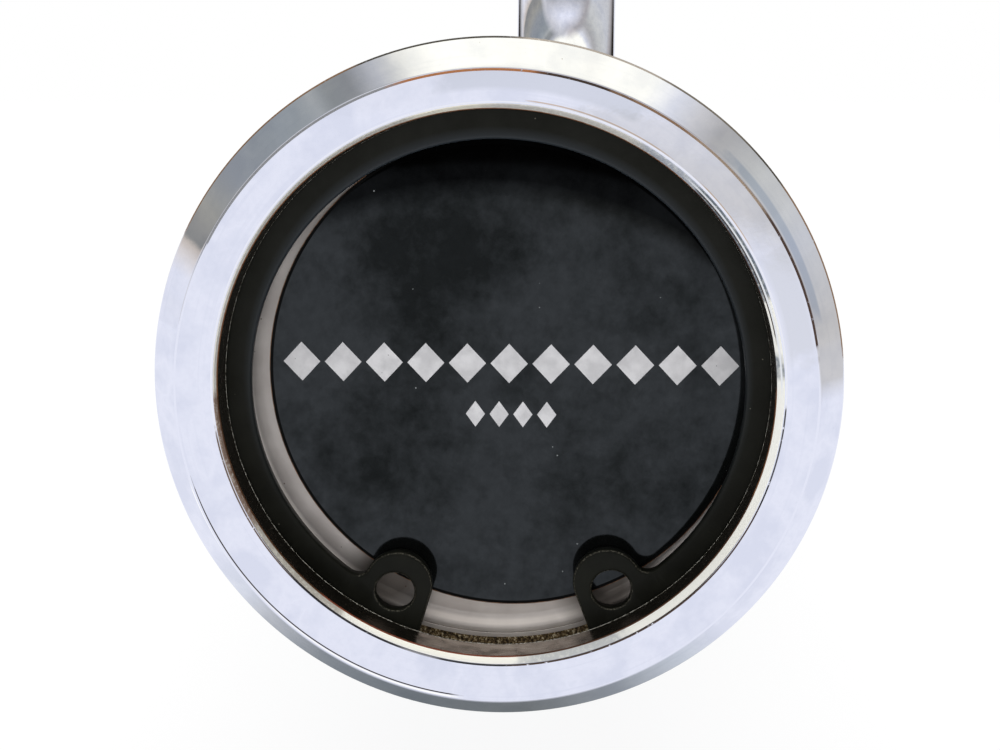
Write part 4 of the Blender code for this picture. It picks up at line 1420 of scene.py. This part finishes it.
def only_mirrored(piece):
    """Show a stage piece in reflections alone, where it gives metal its darks."""
    piece.visible_camera = False
    piece.visible_diffuse = False
    piece.visible_shadow = False
    piece.visible_transmission = False


FLOOR_Z = cad_low.z - 0.0002
FLOOR_OWN_LIGHT = 0.86
DOME_RADIUS = 9.0
SIDE_GREY = "#DAD6CA"


def mirrored_floor(tree, place):
    """The floor as metal mirrors it: shaded under the bar, and grey on the +Y side and past its ends."""
    parts = add_node(tree, "ShaderNodeSeparateXYZ", inputs={"Vector": place}).node.outputs
    along = add_node(tree, "ShaderNodeMath", {"operation": "ABSOLUTE"}, {0: parts["X"]})
    shade = ramp(
        tree,
        remap(tree, parts["Y"], -0.06, 0.04),
        (0.06, "#FFFFFF"),
        (0.18, "#F0F2F0"),
        (0.25, "#C7C9C5"),
        (0.36, "#868C8A"),
        (0.48, "#6C7371"),
        (0.63, "#6E726C"),
        (0.74, "#989D9B"),
        (0.84, "#D8DDDC"),
        (0.92, "#FFFFFF"),
    )
    under = remap(tree, along, SLEEVE_END_X + 0.02, SLEEVE_END_X + 0.002)
    outwards = remap(tree, along, 0.0, 2.06, 0.0, 0.72)
    aside = add_node(tree, "ShaderNodeMath", {"operation": "ADD"}, {0: outwards, 1: parts["Y"]})
    strength = remap(tree, along, 1.6, 3.0, 1.0, 0.5)
    grey = product(tree, remap(tree, aside, 0.64, 0.745), strength)
    return mixed(tree, under, mixed(tree, grey, "#FFFFFF", SIDE_GREY), mixed(tree, grey, shade, SIDE_GREY))


def make_floor():
    """White floor that keeps a soft shadow near the bar and runs out into the white background."""
    bm = bmesh.new()
    bmesh.ops.create_grid(bm, x_segments=4, y_segments=4, size=40.0)
    bmesh.ops.translate(bm, verts=bm.verts, vec=(0.0, 0.0, FLOOR_Z))
    material, tree = empty_material("white_floor")
    place = add_node(tree, "ShaderNodeTexCoord").node.outputs["Object"]
    distance = add_node(tree, "ShaderNodeVectorMath", {"operation": "LENGTH"}, {0: place})
    own = remap(tree, distance, 1.6, 3.2, FLOOR_OWN_LIGHT, 1.0)
    own = product(tree, own, seen_rays(tree))
    in_mirror = add_node(tree, "ShaderNodeLightPath").node.outputs["Is Glossy Ray"]
    colour = mixed(tree, in_mirror, "#FFFFFF", mirrored_floor(tree, place))
    paint = add_node(tree, "ShaderNodeBsdfDiffuse", inputs={"Color": linear("#F2F2F2")})
    glow = add_node(tree, "ShaderNodeEmission", inputs={"Color": colour, "Strength": 1.03})
    blend = add_node(tree, "ShaderNodeMixShader", inputs={0: own, 1: paint, 2: glow})
    add_node(tree, "ShaderNodeOutputMaterial", inputs={"Surface": blend})
    stage_piece(bm, "floor", material)


def make_dome():
    """Studio dome, in mirrors only: grey beside the bar, a low dark edge beyond its ends, white above."""
    bm = bmesh.new()
    lowest = math.asin(FLOOR_Z / DOME_RADIUS)
    arc = arc_angles(lowest, math.pi / 2, math.radians(5.0))
    points = [bm.verts.new((DOME_RADIUS * math.cos(a), 0.0, DOME_RADIUS * math.sin(a))) for a in arc]
    edges = [bm.edges.new(pair) for pair in zip(points, points[1:])]
    bmesh.ops.spin(
        bm,
        geom=points + edges,
        cent=(0, 0, 0),
        axis=(0, 0, 1),
        angle=2 * math.pi,
        steps=48,
        use_merge=True,
    )
    bmesh.ops.remove_doubles(bm, verts=bm.verts, dist=1e-4)
    material, tree = empty_material("studio_dome")
    place = add_node(tree, "ShaderNodeTexCoord").node.outputs["Object"]
    direction = add_node(tree, "ShaderNodeVectorMath", {"operation": "NORMALIZE"}, {0: place})
    parts = add_node(tree, "ShaderNodeSeparateXYZ", inputs={"Vector": direction}).node.outputs
    height = parts["Z"]
    left = ramp(
        tree,
        height,
        (0.11, "#FFFFFF"),
        (0.17, "#F5EDE0"),
        (0.205, "#DFD2BF"),
        (0.22, "#98988F"),
        (0.26, "#A2A096"),
        (0.32, "#AFAC9D"),
        (0.44, "#A3A6A3"),
        (0.57, "#A2A7A4"),
        (0.65, "#A9AEA9"),
        (0.695, "#BCBEB5"),
        (0.73, "#A0A29A"),
        (0.77, "#9C9D97"),
        (0.815, "#CCCCC7"),
        (0.85, "#FFFBE5"),
    )
    right = ramp(
        tree,
        height,
        (0.0, SIDE_GREY),
        (0.28, "#DEDED8"),
        (0.36, "#E3E2D7"),
        (0.5, "#D9D8CB"),
        (0.63, "#C3C0B6"),
        (0.69, "#DFDCD3"),
        (0.74, "#F3F3EF"),
        (0.79, "#FFFBE5"),
    )
    ends = ramp(
        tree,
        height,
        (0.05, "#FFFFFF"),
        (0.07, "#2C2620"),
        (0.145, "#15120F"),
        (0.16, "#6A6058"),
        (0.175, "#15120F"),
        (0.24, "#2C2620"),
        (0.36, "#C4C2BC"),
        (0.6, "#FFFFFF"),
    )
    beyond = add_node(tree, "ShaderNodeMath", {"operation": "ABSOLUTE"}, {0: parts["X"]})
    between = remap(tree, beyond, 0.45, 0.58)
    left = mixed(tree, between, left, "#E4E2DC")
    right = mixed(tree, between, right, "#C0BAB2")
    sides = mixed(tree, remap(tree, parts["Y"], -0.1, 0.1), left, right)
    colour = mixed(tree, remap(tree, beyond, 0.6, 0.78), sides, ends)
    inputs = {"Vector": direction, "Scale": 5.0, "Detail": 4.0, "Roughness": 0.6}
    cloud = add_node(tree, "ShaderNodeTexNoise", inputs=inputs)
    uneven = remap(tree, cloud, 0.3, 0.7, 0.94, 1.06)
    start = remap(tree, parts["Y"], -0.1, 0.1, 0.83, 0.74)
    above = add_node(tree, "ShaderNodeMath", {"operation": "SUBTRACT"}, {0: height, 1: start})
    overhead = remap(tree, above, 0.0, 0.05, 1.0, 1.38)
    strength = product(tree, uneven, overhead)
    glow = add_node(tree, "ShaderNodeEmission", inputs={"Color": colour, "Strength": strength})
    add_node(tree, "ShaderNodeOutputMaterial", inputs={"Surface": glow})
    only_mirrored(stage_piece(bm, "studio_dome", material))


def make_world():
    world = bpy.data.worlds.new("white_studio")
    bpy.context.scene.world = world
    world.use_nodes = True
    tree = world.node_tree
    tree.nodes.clear()
    strength = remap(tree, seen_rays(tree), 0.0, 1.0, 0.72, 1.0)
    inputs = {"Color": (1.0, 1.0, 1.0, 1.0), "Strength": strength}
    light = add_node(tree, "ShaderNodeBackground", inputs=inputs)
    add_node(tree, "ShaderNodeOutputWorld", inputs={"Surface": light})


def make_softbox():
    """One long softbox above the bar."""
    lamp = bpy.data.lights.new("softbox", "AREA")
    lamp.shape = "RECTANGLE"
    lamp.size = 4.6
    lamp.size_y = 1.95
    lamp.energy = 36.0
    lamp.color = (1.0, 0.985, 0.95)
    softbox = bpy.data.objects.new("softbox", lamp)
    softbox.location = (0.0, 0.0, 1.7)
    softbox.visible_camera = False
    softbox.visible_glossy = False
    bpy.context.scene.collection.objects.link(softbox)


def make_camera():
    """Camera close to the right sleeve's end, a little above and beside its axis."""
    data = bpy.data.cameras.new("camera")
    camera = bpy.data.objects.new("camera", data)
    bpy.context.scene.collection.objects.link(camera)
    level = math.cos(CAMERA_ELEVATION)
    back = Vector(
        (level * math.cos(CAMERA_AZIMUTH), level * math.sin(CAMERA_AZIMUTH), math.sin(CAMERA_ELEVATION))
    )
    camera.location = Vector((SLEEVE_END_X, 0.0, AXIS_Z)) + back * CAMERA_DISTANCE
    camera.rotation_mode = "QUATERNION"
    camera.rotation_quaternion = (-back).to_track_quat("-Z", "Y")
    width, height = IMAGE_SIZE
    data.sensor_width = SENSOR_WIDTH
    data.lens = PIXELS_PER_METRE_AT_FACE * CAMERA_DISTANCE / width * SENSOR_WIDTH
    data.shift_x = (width / 2 - FACE_CENTRE_PIXEL[0]) / width
    data.shift_y = (FACE_CENTRE_PIXEL[1] - height / 2) / width
    data.clip_start = 0.005
    data.clip_end = 100.0
    bpy.context.scene.camera = camera


make_floor()
make_dome()
make_world()
make_softbox()
make_camera()
bpy.context.scene.view_settings.view_transform = "Standard"
